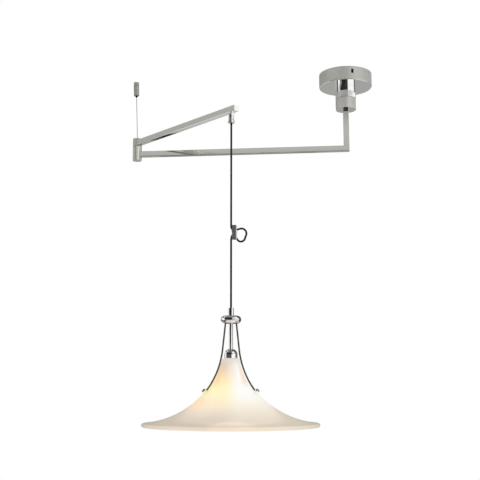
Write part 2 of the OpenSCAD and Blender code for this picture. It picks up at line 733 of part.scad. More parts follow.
module arm_tip_plug() {
    plug_w = tube_in - 2 * seat_fit;
    color(bright) on_swing() difference() {
        union() {
            translate([swing_l - tip_plate_t, 0, 0]) tube_bar(tube_w, tip_plate_t);
            translate([swing_l - tip_plate_t - tip_plug_l, 0, 0]) square_bar(plug_w, tip_plug_l + over);
        }
        translate([swing_l - tip_plate_t - tip_plug_l - over, 0, 0]) square_bar(plug_w - 3, tip_plug_l);
    }
}
module cord_gland() {
    color(steel) on_cord() difference() {
        union() {
            translate([0, 0, -gland_end]) cylinder(d = gland_d, h = gland_h);
            translate([0, 0, -gland_top]) cylinder(d = gland_bore, h = tube_wall);
        }
        translate([0, 0, -gland_end - over]) cylinder(r = lead_d / 2 + 0.4, h = gland_h + tube_wall + 2 * over);
        translate([0, 0, -gland_end - over]) cylinder(r = gland_bore / 2, h = gland_h - 4);
        translate([0, 0, -(gland_top + gland_end) / 2]) rotate(gland_screw_turn) rotate([0, 90, 0])
            cylinder(r = gland_screw_d / 2 + seat_fit, h = gland_d);
    }
}
module gland_ring() {
    color(steel) on_cord() rotate_extrude() polygon([
        [mouth_r, -gland_end], [gland_ring_d / 2, -gland_end], [gland_ring_d / 2, -ring_mouth + 0.6],
        [gland_ring_d / 2 - 0.6, -ring_mouth], [flare_r, -ring_mouth], [mouth_r, -pivot_z]
    ]);
}
module gland_screw() {
    color(black) on_cord() translate([0, 0, -(gland_top + gland_end) / 2]) rotate(gland_screw_turn)
        rotate([0, 90, 0]) translate([0, 0, gland_bore / 2])
            socket_screw(gland_screw_d, (gland_d - gland_bore) / 2 - 0.3);
}
module gland_bush() {
    color(black) on_cord() translate([0, 0, -gland_end])
        ring(gland_bore / 2 - seat_fit, lead_d / 2 + seat_fit, bush_l);
}
module swing_lead() {
    start = pin_top - 0.3 - swing_z;
    level = swing_bend - start;
    color(black) on_swing() flat_tube(concat(
        arc_points(swing_bend, -start, swing_bend, 180, 90, 5),
        [for (i = [1:4]) [swing_bend + i * (cord_out - 2 * swing_bend) / 5, 0, level * (1 - i / 4)]],
        arc_points(cord_out - swing_bend, -swing_bend, swing_bend, 90, 0, 5),
        [[cord_out, 0, swing_z - pivot_z + pivot_gap]]), lead_d / 2, 8);
}

module on_pivot() {
    on_cord() translate([0, 0, -pivot_z]) children();
}
module cord_upper() {
    color(black) on_pivot() flat_tube(upper_route, cord_d / 2, cord_sides);
}
module cord_loop() {
    color(black) on_pivot() flat_tube(loop_route, cord_d / 2, cord_sides);
}
module cord_lower() {
    color(black) on_pivot() flat_tube(lower_route, cord_d / 2, cord_sides);
}
module cord_adjuster() {
    round_r = adjuster_t / 2 - 0.6;
    color(steel) on_pivot() difference() {
        translate([adjuster_x, 0, -adjuster_z]) intersection() {
            cube([adjuster_t, adjuster_w, adjuster_h], center = true);
            union() {
                cube([adjuster_t, adjuster_w - 2 * round_r, adjuster_h + over], center = true);
                for (side = [-1, 1]) translate([0, side * (adjuster_w / 2 - round_r), 0])
                    cylinder(d = adjuster_t, h = adjuster_h + over, center = true);
            }
        }
        translate([adjuster_x - adjuster_t, 0, upper_hole_z]) rotate([0, 90, 0])
            cylinder(d = adjuster_hole_d, h = 2 * adjuster_t);
        translate([adjuster_x, 0, (lower_hole_left_z + lower_hole_right_z) / 2])
            rotate([0, 90 + atan((lower_hole_left_z - lower_hole_right_z) / adjuster_t), 0])
                cylinder(d = adjuster_hole_d, h = 3 * adjuster_t, center = true);
    }
}

module cord_nipple() {
    grip_z = nipple_top + 5;
    color(bright) on_cord() difference() {
        union() {
            translate([0, 0, -crown_top]) cylinder(d = nipple_d, h = nipple_h);
            translate([0, 0, -crown_top - socket_l + 1]) cylinder(d = stay_d, h = socket_l);
        }
        translate([0, 0, -crown_top - socket_l]) cylinder(r = lead_d / 2 + 0.4, h = socket_l + nipple_h + over);
        rotate_extrude() polygon([
            [0, -low_pivot_z - pivot_gap], [mouth_r, -low_pivot_z - pivot_gap], [mouth_r, -low_pivot_z],
            [flare_r, -nipple_top], [flare_r, -nipple_top + over], [0, -nipple_top + over]
        ]);
        translate([0, 0, -grip_z - 2]) rotate(gland_screw_turn) rotate([0, 90, 0])
            cylinder(r = gland_screw_d / 2 + seat_fit, h = nipple_d);
    }
}
module nipple_screw() {
    start = lead_d / 2 + 0.4;
    color(black) on_cord() translate([0, 0, -nipple_top - 7]) rotate(gland_screw_turn) rotate([0, 90, 0])
        translate([0, 0, start]) socket_screw(gland_screw_d, nipple_d / 2 - start - 0.4);
}
module crown() {
    edge = crown_h / 2;
    color(bright) on_cord() difference() {
        rotate_extrude() union() {
            translate([0, -crown_end]) square([crown_d / 2 - edge, crown_h]);
            intersection() {
                translate([crown_d / 2 - edge, -crown_end + edge]) circle(r = edge);
                translate([0, -crown_end]) square([crown_d / 2, crown_h]);
            }
        }
        translate([0, 0, -crown_top - socket_l + 1]) cylinder(r = stay_d / 2 + seat_fit, h = socket_l + over);
        translate([0, 0, -crown_end - over]) cylinder(r = stay_d / 2 + seat_fit, h = socket_l + over);
        translate([0, 0, -crown_end]) cylinder(r = stay_bore / 2, h = crown_h);
        for (way = rod_ways) rotate(way) on_rod_top() translate([0, 0, -over])
            cylinder(r = rod_d / 2 + seat_fit, h = socket_l + over);
    }
}
module centre_tube() {
    color(bright) on_cord() translate([0, 0, -plate_top - 0.8])
        ring(stay_d / 2, stay_bore / 2, plate_top + 0.8 - crown_end + socket_l);
}
// Where a rod leaves the crown, looking back up the rod
module on_rod_top() {
    translate([rod_top[0], 0, -crown_end]) rotate([0, -rod_start_slope, 0]) children();
}
module shade_rod(way) {
    bend_x = rod_top[0] + rod_straight * sin(rod_start_slope) + rod_bend_r * cos(rod_start_slope);
    bend_z = -crown_end - rod_straight * cos(rod_start_slope) + rod_bend_r * sin(rod_start_slope);
    color(steel) on_cord() rotate(way) {
        on_rod_top() translate([0, 0, -rod_straight]) {
            cylinder(d = rod_d, h = rod_straight + socket_l - 0.2);
            // The end of the straight part, drawn a hair wider where the bend starts
            sphere(d = rod_d + 0.06);
        }
        translate([bend_x, 0, bend_z]) rotate([90, 0, 0])
            rotate_extrude(start = 180 + rod_start_slope, angle = rod_end_slope - rod_start_slope)
                translate([rod_bend_r, 0]) circle(d = rod_d);
    }
}
module shade_rod_left() {
    shade_rod(rod_ways[0]);
}
module shade_rod_right() {
    shade_rod(rod_ways[1]);
}
module shade_rod_back() {
    shade_rod(rod_ways[2]);
}
module clip_barrels() {
    color(bright) for (way = rod_ways) on_clip(way) difference() {
        translate([0, 0, clip_room + clip_washer_t]) union() {
            cylinder(d = clip_d, h = clip_l - 1);
            cylinder(d = clip_d - 2, h = clip_l);
        }
        cylinder(r = clip_screw_d / 2 + seat_fit, h = clip_room + clip_washer_t + screw_depth + free_gap);
        translate([-clip_d / 2 + rod_in, 0, clip_room + clip_washer_t + rod_level]) rotate([0, -90, 0])
            cylinder(r = rod_d / 2 + seat_fit, h = clip_d);
    }
}
module clip_screws() {
    below = glass_wall(clip_at) + clip_room + clip_washer_t;
    color(bright) for (way = rod_ways) on_clip(way) {
        translate([0, 0, -below]) cylinder(d = clip_screw_d, h = below + clip_room + clip_washer_t + screw_depth);
        translate([0, 0, -below - clip_screw_head]) cylinder(d = 2.2 * clip_screw_d, h = clip_screw_head);
    }
}
module clip_washers() {
    color(nylon) for (way = rod_ways) on_clip(way)
        for (z = [clip_room, -glass_wall(clip_at) - clip_room - clip_washer_t]) translate([0, 0, z])
            ring(clip_d / 2, clip_screw_d / 2 + seat_fit, clip_washer_t);
}
module dome_cap() {
    outer = dome_d / 2;
    crest = stay_d / 4;
    drop = outer - crest;
    color(bright) on_cord() translate([0, 0, -dome_end]) rotate_extrude() difference() {
        union() {
            square([outer, dome_h - drop]);
            translate([crest, dome_h - drop]) circle(r = drop);
            square([crest, dome_h]);
        }
        translate([-over, -over]) square([outer - dome_wall + over, dome_h - drop + over]);
        translate([crest, dome_h - drop]) circle(r = drop - dome_wall);
        translate([-over, -over]) square([crest + over, dome_h - dome_wall + over]);
        translate([-over, -over]) square([stay_d / 2 + seat_fit + over, dome_h + 2 * over]);
        translate([-2 * outer, -dome_h]) square([2 * outer, 3 * dome_h]);
        translate([0, -dome_h]) square([2 * outer, dome_h]);
    }
}
module holder_plate() {
    color(steel) on_cord() translate([0, 0, -holder_top]) difference() {
        cylinder(d = holder_d, h = plate_t);
        translate([0, 0, 0.7]) cylinder(r = stay_d / 2 + seat_fit, h = plate_t);
        translate([0, 0, -over]) cylinder(d = stay_bore, h = plate_t + over);
        for (side = [-1, 1]) translate([0, side * holder_d / 3, -over])
            cylinder(d = 2.6, h = plate_t + 2 * over);
    }
}
module lampholder() {
    color(ceramic) on_cord() translate([0, 0, -holder_end]) difference() {
        cylinder(d = holder_d, h = holder_l);
        translate([0, 0, -over]) cylinder(r = lamp_d / 2 + free_gap, h = 6 + over);
        for (side = [-1, 1]) {
            translate([side * pin_pitch / 2, 0, 0]) cylinder(r = pin_wire_d / 2 + seat_fit, h = holder_l / 2);
            translate([0, side * holder_d / 3, holder_l - 8]) cylinder(r = 1.25 + seat_fit, h = 8 + over);
        }
        translate([0, 0, holder_l - 5]) cylinder(r = lead_d / 2 + 0.3, h = 5 + over);
    }
}
module holder_screws() {
    color(steel) on_cord() for (side = [-1, 1]) translate([0, side * holder_d / 3, -holder_top - 7]) {
        cylinder(d = 2.5, h = 7 + plate_t);
        translate([0, 0, 7 + plate_t]) cylinder(d = 4, h = 1.4);
    }
}
module pendant_lead() {
    color(black) on_cord() translate([0, 0, -holder_top - 4.5])
        cylinder(d = lead_d, h = holder_top + 4.5 - low_pivot_z - pivot_gap);
}
module neck_gasket() {
    color(nylon) on_cord() translate([0, 0, -neck_z]) ring(dome_d / 2, holder_d / 2 + 0.8, gasket_t);
}
module glass_shade() {
    outer = [for (i = [0:outline_steps]) outline(i / outline_steps)];
    inner = [for (i = [0:outline_steps]) inner_line(1 - i / outline_steps)];
    lip_mid = (outline(1) + inner_line(1)) / 2;
    lip_turn = atan2(outline_normal(1)[0], -outline_normal(1)[1]);
    lip = [for (i = [1:lip_steps - 1]) let (a = 90 - lip_turn - 180 * i / lip_steps)
        lip_mid + rim_wall / 2 * [cos(a), -sin(a)]];
    color(opal) on_cord() difference() {
        translate([0, 0, -neck_z]) rotate_extrude($fn = 128)
            polygon([for (p = concat(outer, lip, inner)) [p[0], -p[1]]]);
        for (way = rod_ways) translate([-cord_x, -cord_y, 0]) on_clip(way)
            translate([0, 0, -rim_wall]) cylinder(d = clip_hole_d, h = 2 * rim_wall);
    }
}
module lamp_bulb() {
    color("white") on_cord() difference() {
        translate([0, 0, -lamp_end]) lamp_solid(lamp_d / 2, lamp_l + 5);
        translate([0, 0, -lamp_end + 1]) lamp_solid(lamp_d / 2 - 1, lamp_l - 4);
    }
}
// A rod with one round end, which points down
module lamp_solid(r, l) {
    translate([0, 0, r]) sphere(r = r);
    translate([0, 0, r]) cylinder(r = r, h = l - r);
}
module lamp_pins() {
    color(steel) on_cord() for (side = [-1, 1])
        translate([side * pin_pitch / 2, 0, -holder_end + 5]) cylinder(d = pin_wire_d, h = 8);
}
module lamp_core() {
    color(brass) on_cord() translate([0, 0, -lamp_end + lamp_d / 2]) cylinder(d = core_d, h = lamp_l - lamp_d / 2 - 3.2);
}

ceiling_strap();
canopy_cup();
canopy_screws();
fixed_sleeve();
spindle();
spindle_nut();
swivel_washer();
terminal_block();
terminal_screws();
feed_lead();
swivel_hub();
hub_plate();
drop_tube();
main_arm_tube();
lower_knuckle();
hinge_pin();
hinge_washer();
pin_ring();
arm_lead();
support_wire();
wire_ball();
ceiling_boss();
gripper_body();
gripper_jaws();
gripper_spring();
release_button();
upper_knuckle();
knuckle_cap();
swing_arm_tube();
arm_tip_plug();
cord_gland();
gland_ring();
gland_screw();
gland_bush();
swing_lead();
cord_upper();
cord_adjuster();
cord_loop();
cord_lower();
cord_nipple();
nipple_screw();
crown();
centre_tube();
shade_rod_left();
shade_rod_right();
shade_rod_back();
clip_barrels();
clip_screws();
clip_washers();
dome_cap();
holder_plate();
lampholder();
holder_screws();
pendant_lead();
neck_gasket();
glass_shade();
lamp_bulb();
lamp_pins();
lamp_core();
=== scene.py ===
# Looks of the swing arm pendant light: smooth pieces over the imported solids,
# satin and polished metal, opal glass with a painted glow and painted shade, and a soft black cord.
import json
import math
import bmesh
import bpy
from mathutils import Matrix, Vector


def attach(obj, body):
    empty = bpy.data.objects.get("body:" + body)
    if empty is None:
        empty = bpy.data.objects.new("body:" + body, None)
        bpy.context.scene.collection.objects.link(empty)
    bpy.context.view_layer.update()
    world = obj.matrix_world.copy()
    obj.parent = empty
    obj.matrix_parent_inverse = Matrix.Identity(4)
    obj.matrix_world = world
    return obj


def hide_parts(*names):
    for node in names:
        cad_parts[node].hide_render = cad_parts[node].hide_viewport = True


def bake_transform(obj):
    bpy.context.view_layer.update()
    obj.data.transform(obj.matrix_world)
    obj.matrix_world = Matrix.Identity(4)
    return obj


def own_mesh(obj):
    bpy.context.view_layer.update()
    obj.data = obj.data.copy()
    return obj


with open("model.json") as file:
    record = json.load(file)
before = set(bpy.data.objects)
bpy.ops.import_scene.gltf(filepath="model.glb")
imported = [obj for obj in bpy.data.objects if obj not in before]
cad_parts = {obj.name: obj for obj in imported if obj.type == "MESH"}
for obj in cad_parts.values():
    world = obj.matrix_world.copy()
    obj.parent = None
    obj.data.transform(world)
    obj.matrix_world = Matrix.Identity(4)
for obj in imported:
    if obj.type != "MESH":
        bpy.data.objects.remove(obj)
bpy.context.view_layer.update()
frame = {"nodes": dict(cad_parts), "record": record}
# A millimetre in metres, and the angle in degrees above which a bevelled piece has a sharp edge
MM, SHARP = 0.001, 35

# Sizes of the light in millimetres, as depths below the ceiling
CUP_R, CUP_H, CUP_WALL = 60.0, 31.0, 1.5
SIDE_HOLE_R, SLOT_R, SLOT_RISES = 2.68, 2.7, (-2, -1, 0, 1, 2)
STEM_R, SLEEVE_END, HUB_TOP, HUB_END, HUB_WALL, HUB_FLOOR = 23.0, 58.0, 58.5, 84.0, 2.5, 4.0
TUBE, TUBE_ROUND, ARM_Z, ARM_L, ARM_TURN = 12.7, 1.0, 175.5, 486.0, math.radians(173.85)
KNUCKLE_R, LOWER_TOP, LOWER_END, UPPER_TOP, UPPER_END = 10.4, 157.05, 190.55, 137.85, 156.45
CAP_R, PIN_ROOM = 8.37, 5.0
SWING_Z, SWING_L, FOLD = 148.4, 355.0, math.radians(42.7)
STRAP_TURN, SIDE_SCREW_Z = math.radians(-81.6), 11.5
GLAND_TOP, GLAND_END, RING_MOUTH, PIVOT_Z = 154.75, 172.25, 177.45, 175.45
SCREW_TURN, GRUB_R, GRUB_HOLE_R = math.radians(-108), 1.7, 1.78
CORD_OUT, CORD_R, CORD_HOLE_R, CORD_DROP = 338.0, 2.0, 2.6, 381.8
BALL_Z, BOSS_H, BOSS_OUT, THREAD_R, THREAD_DEEP = 142.35, 8.0, 5.2, 2.1, 6.0
NIPPLE_TOP, CROWN_TOP, CROWN_END, CROWN_R = 555.75, 571.15, 586.35, 20.2
GLAND_SCREW_Z, NIPPLE_SCREW_Z = -(GLAND_TOP + GLAND_END) / 2, -NIPPLE_TOP - 7
GLAND_R, RING_R, NIPPLE_R = 5.8, 7.0, 5.75
DOME_TOP, DOME_END, NECK_Z = 636.25, 654.25, 654.85
HOLDER_TOP, HOLDER_END, HOLDER_R, LAMP_END, LAMP_R = 643.75, 671.75, 10.0, 715.75, 7.0
LEAN = math.atan(BOSS_OUT / (BALL_Z - BOSS_H - 3.6))
GRIPPER_TOP = (BALL_Z - BOSS_H - 0.4) / math.cos(LEAN)

SWING_TURN = ARM_TURN + math.pi - FOLD
ELBOW = Vector((ARM_L * math.cos(ARM_TURN), ARM_L * math.sin(ARM_TURN), 0)) * MM
CORD = ELBOW + Vector((math.cos(SWING_TURN), math.sin(SWING_TURN), 0)) * CORD_OUT * MM


def moved(x=0.0, y=0.0, z=0.0):
    return Matrix.Translation(Vector((x, y, z)) * MM)


def turn(angle, axis="Z"):
    return Matrix.Rotation(angle, 4, axis)


AT_ARM = turn(ARM_TURN) @ moved(z=-ARM_Z)
AT_ELBOW = Matrix.Translation(ELBOW)
AT_SWING = AT_ELBOW @ turn(SWING_TURN) @ moved(z=-SWING_Z)
AT_WIRE = AT_ELBOW @ turn(ARM_TURN) @ moved(z=-BALL_Z) @ turn(LEAN, "Y")
AT_CORD = Matrix.Translation(CORD)
AT_PIVOT = AT_CORD @ moved(z=-PIVOT_Z)

# Camera, at the height of the glass and looking slightly up
eye = bpy.data.cameras.new("eye")
eye.lens, eye.sensor_width = 65.25, 36
eye.clip_start, eye.clip_end = 0.05, 60
eye_object = bpy.data.objects.new("eye", eye)
eye_object.location = (-0.243, -1.922, -0.702)
eye_object.rotation_euler = (math.radians(99.33), 0, 0)
bpy.context.scene.collection.objects.link(eye_object)
bpy.context.scene.camera = eye_object


# Modelling, with the tools that are used by hand

def let_go():
    if bpy.context.object and bpy.context.object.mode != "OBJECT":
        bpy.ops.object.mode_set(mode="OBJECT")
    bpy.ops.object.select_all(action="DESELECT")


def take(piece):
    """Picks one piece, and nothing else, to work on."""
    let_go()
    piece.select_set(True)
    bpy.context.view_layer.objects.active = piece


def edit(piece):
    take(piece)
    bpy.ops.object.mode_set(mode="EDIT")
    bpy.ops.mesh.select_all(action="DESELECT")


def one_point(name):
    """A piece in edit mode with one vertex at the origin, ready to be extruded."""
    let_go()
    bpy.ops.mesh.primitive_plane_add(size=MM)
    piece = bpy.context.object
    piece.name = name
    edit(piece)
    bpy.ops.mesh.select_mode(type="VERT")
    bpy.ops.mesh.select_all(action="SELECT")
    bpy.ops.mesh.merge(type="CENTER")
    return piece


def disc(name, r, sides, at=(0, 0, 0)):
    """A flat round face in metres, as the start of a rod or as a card."""
    let_go()
    bpy.ops.mesh.primitive_circle_add(vertices=sides, radius=r, fill_type="NGON", location=at)
    piece = bpy.context.object
    piece.name = name
    return piece


def extrude(step):
    bpy.ops.mesh.extrude_region_move(TRANSFORM_OT_translate={"value": step})


def worked(piece, kind, **settings):
    """Adds a modifier to a piece, gives it its settings and applies it."""
    take(piece)
    tool = piece.modifiers.new(kind.lower(), kind)
    for key, value in settings.items():
        setattr(tool, key, value)
    bpy.ops.object.modifier_apply(modifier=tool.name)


def close_up(piece, place=None, angle=32):
    """Merges doubles, turns the faces outwards, puts the piece in its place and shades it smooth."""
    if bpy.context.object is not piece or piece.mode != "EDIT":
        edit(piece)
    bpy.ops.mesh.select_all(action="SELECT")
    bpy.ops.mesh.remove_doubles(threshold=2e-6)
    bpy.ops.mesh.normals_make_consistent(inside=False)
    bpy.ops.object.mode_set(mode="OBJECT")
    if place is not None:
        piece.data.transform(place)
    return smooth(piece, angle)


def smooth(piece, angle):
    """Smooth shading that keeps the wide faces flat, so that they mirror the room evenly."""
    take(piece)
    if piece.data.has_custom_normals:
        bpy.ops.mesh.customdata_custom_splitnormals_clear()
    bpy.ops.object.shade_smooth_by_angle(angle=math.radians(angle))
    worked(piece, "WEIGHTED_NORMAL", mode="FACE_AREA", keep_sharp=True, weight=60)
    piece.select_set(False)
    return piece


def rounded(*corners, steps=4):
    """A closed outline of (radius, height, rounding) corners, whose last point is its first."""
    made = []
    for i, corner in enumerate(corners):
        here = Vector((corner[0], corner[1]))
        if len(corner) < 3:
            made.append(here)
            continue
        back = (Vector(corners[i - 1][:2]) - here).normalized()
        on = (Vector(corners[(i + 1) % len(corners)][:2]) - here).normalized()
        half = back.angle(on) / 2
        middle = here + (back + on).normalized() * corner[2] / math.sin(half)
        first = here + back * corner[2] / math.tan(half) - middle
        last = here + on * corner[2] / math.tan(half) - middle
        sweep = first.angle_signed(last)
        for k in range(steps + 1):
            a = -sweep * k / steps
            made.append(middle + Vector((first.x * math.cos(a) - first.y * math.sin(a),
                                         first.x * math.sin(a) + first.y * math.cos(a))))
    return made + [made[0]]


def turned(name, line, place=None, sides=96, angle=32):
    """A piece turned on the Z axis from a closed line of (radius, height) points."""
    piece = one_point(name)
    bpy.ops.transform.translate(value=(line[0][0] * MM, 0, line[0][1] * MM))
    for a, b in zip(line, line[1:]):
        extrude(((b[0] - a[0]) * MM, 0, (b[1] - a[1]) * MM))
    bpy.ops.mesh.select_all(action="SELECT")
    bpy.ops.mesh.spin(steps=sides, angle=2 * math.pi, center=(0, 0, 0), axis=(0, 0, 1))
    return close_up(piece, place, angle)


def bar(name, length, width, height, corner, place=None, steps=5):
    """A bar along X from the origin, with its long edges rounded."""
    let_go()
    bpy.ops.mesh.primitive_cube_add(size=1, location=(length * MM / 2, 0, 0),
                                    scale=(length * MM, width * MM, height * MM))
    piece = bpy.context.object
    piece.name = name
    bpy.ops.object.transform_apply(location=True, rotation=True, scale=True)
    edit(piece)
    bpy.ops.mesh.select_mode(type="EDGE")
    work = bmesh.from_edit_mesh(piece.data)
    for edge in work.edges:
        edge.select_set(abs(edge.verts[0].co.x - edge.verts[1].co.x) > length * MM / 2)
    bmesh.update_edit_mesh(piece.data)
    bpy.ops.mesh.bevel(offset=corner * MM, segments=steps, affect="EDGES")
    return close_up(piece, place)


def cut(piece, *cutters):
    """Takes the cutters out of a piece and throws them away."""
    for cutter in cutters:
        worked(piece, "BOOLEAN", operation="DIFFERENCE", solver="EXACT", object=cutter)
        bpy.data.objects.remove(cutter)
    return piece


def soften(piece, width):
    """Rounds the sharp edges that are left, with a bevel that is applied."""
    worked(piece, "BEVEL", width=width * MM, segments=2, limit_method="ANGLE",
           angle_limit=math.radians(SHARP), use_clamp_overlap=True)
    return smooth(piece, SHARP)


def rod_cutter(r, length, place, sides=48):
    """A plain round tool, used only to cut holes."""
    let_go()
    bpy.ops.mesh.primitive_cylinder_add(vertices=sides, radius=r * MM, depth=length * MM)
    tool = bpy.context.object
    tool.data.transform(place)
    return tool


def joined(name, *pieces):
    """Joins pieces to one, under a new name."""
    let_go()
    for piece in pieces:
        piece.select_set(True)
    bpy.context.view_layer.objects.active = pieces[0]
    bpy.ops.object.join()
    pieces[0].name = name
    pieces[0].select_set(False)
    return pieces[0]


def screw(name, r, length, place):
    """A headless screw with a hexagon socket in its upper end, which lies at the origin."""
    body = turned(name, rounded((0, 0), (0, -length), (r, -length, 0.15 * r), (r, 0, 0.25 * r), steps=3),
                  sides=40)
    body = cut(body, rod_cutter(0.5 * r, 1.6 * r, moved(z=-0.4 * r), sides=6))
    return close_up(body, place)


def eased(node, angle):
    """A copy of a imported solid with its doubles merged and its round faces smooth."""
    mesh = frame["nodes"][node].data.copy()
    piece = bpy.data.objects.new(node + "_smooth", mesh)
    bpy.context.scene.collection.objects.link(piece)
    close_up(piece, angle=angle)
    return piece


def cord_tube(name, points, r, sides=24):
    """A closed round tube along points in metres, in the X-Z plane of the cord, with a UV map."""
    count = len(points)
    corners, faces = [], []
    along, way = [0.0], 0.0
    for a, b in zip(points, points[1:]):
        way += (b - a).length
        along.append(way)
    for i, p in enumerate(points):
        ahead = (points[min(i + 1, count - 1)] - points[max(i - 1, 0)]).normalized()
        side = Vector((0, 1, 0))
        up = ahead.cross(side)
        for k in range(sides):
            a = 2 * math.pi * k / sides
            corners.append(p + (side * math.cos(a) + up * math.sin(a)) * r)
    for i in range(count - 1):
        for k in range(sides):
            n = (k + 1) % sides
            faces.append((i * sides + k, i * sides + n, (i + 1) * sides + n, (i + 1) * sides + k))
    faces.append(tuple(reversed(range(sides))))
    faces.append(tuple(range((count - 1) * sides, count * sides)))
    mesh = bpy.data.meshes.new(name)
    mesh.from_pydata([tuple(c) for c in corners], [], faces)
    chart = mesh.uv_layers.new(name="along")
    for face in mesh.polygons:
        ring = [divmod(mesh.loops[i].vertex_index, sides) for i in face.loop_indices]
        wraps = len(ring) == 4 and {k for i, k in ring} == {0, sides - 1}
        for loop, (i, k) in zip(face.loop_indices, ring):
            chart.data[loop].uv = ((sides if wraps and k == 0 else k) / sides, along[i] / (2 * math.pi * r))
    piece = bpy.data.objects.new(name, mesh)
    bpy.context.scene.collection.objects.link(piece)
    close_up(piece, angle=50)
    return piece


def flowing(points, step=2.0):
    """A smooth curve in metres through points in millimetres, close enough together for a cord."""
    made = []
    ends = [points[0] * 2 - points[1]] + points + [points[-1] * 2 - points[-2]]
    for a, b, c, d in zip(ends, ends[1:], ends[2:], ends[3:]):
        parts = max(1, round((c - b).length / step))
        for k in range(parts):
            t = k / parts
            made.append(0.5 * (2 * b + (c - a) * t + (2 * a - 5 * b + 4 * c - d) * t * t
                               + (3 * b - a - 3 * c + d) * t ** 3))
    made.append(points[-1])
    return [AT_PIVOT @ (p * MM) for p in made]


def flat(*points):
    return [Vector((x, 0, z)) for x, z in points]


def arc(x, z, r, first, last, steps):
    """Points of an arc in the X-Z plane, in degrees."""
    made = []
    for k in range(steps + 1):
        a = math.radians(first + (last - first) * k / steps)
        made.append(Vector((x + r * math.cos(a), 0, z + r * math.sin(a))))
    return made


def bow(x, z, r, first, last, steps):
    """Points (radius, height) of an arc, in degrees from the top towards the outside."""
    return [(x + r * math.sin(a), z + r * math.cos(a))
            for a in [math.radians(first + (last - first) * k / steps) for k in range(steps + 1)]]


def length_of(points):
    return sum((b - a).length for a, b in zip(points, points[1:]))


# The cord: down from the gland, through the bar, round the spare loop, and on to the shade
BAR_X, BAR_Z, BAR_T, BAR_W, BAR_H, BEND = 6.4, -228.5, 6.2, 11.0, 29.4, 9
BAR_LEFT, BAR_RIGHT = BAR_X - BAR_T / 2, BAR_X + BAR_T / 2
upper_way = flowing(flat(*[(0, -12 * i) for i in range(18)])
                    + arc(BEND, -216.4, BEND, 180, 180 + math.degrees(math.acos(1 - BAR_X / BEND)), 8))
loop_way = flowing(flat((BAR_X, -224.6)) + flat((13.79, -222.36))
                   + arc(20.7, -230.7, 10, 107, -19.73, 13) + arc(19.6, -239.1, 8.2, -19.73, -150, 12)
                   + flat((BAR_X + 1.5, -236.0)), step=1.4)
lower_way = flowing(flat((BAR_X, -231.2), (BAR_LEFT, -233.2), (1.4, -236.2), (0.6, -239), (0.1, -242.4),
                         (0, -246), *[(0, -258 - 12 * i) for i in range(6)]))
last_way = flowing(flat(*[(0, -318 - 10.6 * i) for i in range(6)]) + flat((0, -CORD_DROP)))

cord_top = cord_tube("cord_from_gland", upper_way, CORD_R * MM)
cord_spare = cord_tube("cord_spare_loop", loop_way, CORD_R * MM)
cord_mid = cord_tube("cord_below_bar", lower_way, CORD_R * MM)
cord_end = cord_tube("cord_to_shade", last_way, CORD_R * MM)

# Pieces on the cord
adjuster = bar("cord_bar", BAR_H, BAR_T, BAR_W, 2.5,
               AT_PIVOT @ moved(BAR_X, 0, BAR_Z + BAR_H / 2) @ turn(math.pi / 2, "Y"), steps=7)
adjuster = cut(adjuster, *[
    rod_cutter(CORD_HOLE_R, 34, AT_PIVOT @ moved(BAR_X, 0, z) @ turn(math.pi / 2 + slope, "Y"))
    for z, slope in ((-223.4, 0), (-235.5, math.atan(5.8 / BAR_T)))])
adjuster = soften(adjuster, 0.35)


def cup_side(half, out, rise=0):
    """A place in the cup's wall, at one of its two side screws."""
    return turn(STRAP_TURN + half) @ moved(CUP_R + out, 0, rise - SIDE_SCREW_Z) @ turn(math.pi / 2, "Y")


# Ceiling cup, stem and hub
HALVES = (0, math.pi)
cup = turned("ceiling_cup", rounded(
    (6.2, -CUP_H, 0.4), (6.2, -CUP_H + CUP_WALL, 0.3), (CUP_R - CUP_WALL, -CUP_H + CUP_WALL, 1.2),
    (CUP_R - CUP_WALL, 0, 0.4), (CUP_R, 0, 0.5), (CUP_R, -CUP_H, 2.0), steps=7), sides=192)
cup = cut(cup, *[rod_cutter(SIDE_HOLE_R, 6, cup_side(half, 0)) for half in HALVES])
cup = cut(cup, *[rod_cutter(SLOT_R, 6, cup_side(half, 2.2, rise)) for half in HALVES for rise in SLOT_RISES])
close_up(cup)
sleeve = turned("stem_sleeve", rounded(
    (5.2, -SLEEVE_END, 0.3), (5.2, -CUP_H), (STEM_R, -CUP_H, 0.3), (STEM_R, -SLEEVE_END, 0.5)),
    sides=144)
hub = turned("stem_hub", rounded(
    (0, -HUB_END), (0, -HUB_END + HUB_FLOOR), (STEM_R - HUB_WALL, -HUB_END + HUB_FLOOR),
    (STEM_R - HUB_WALL, -HUB_TOP), (STEM_R, -HUB_TOP, 0.5), (STEM_R, -HUB_END, 0.5)), sides=144)
side_screws = joined("cup_screws", *[screw("cup_screw", 2.5, 8.5, cup_side(half, -0.45)) for half in HALVES])


def arm_piece(name, length, place, *planes):
    """A square tube with rounded edges; each plane is a point and the way that is cut off."""
    piece = bar(name, length, TUBE, TUBE, TUBE_ROUND, place)
    for point, way in planes:
        edit(piece)
        bpy.ops.mesh.select_all(action="SELECT")
        bpy.ops.mesh.bisect(plane_co=point, plane_no=way, use_fill=True, clear_outer=True)
        close_up(piece)
    return piece


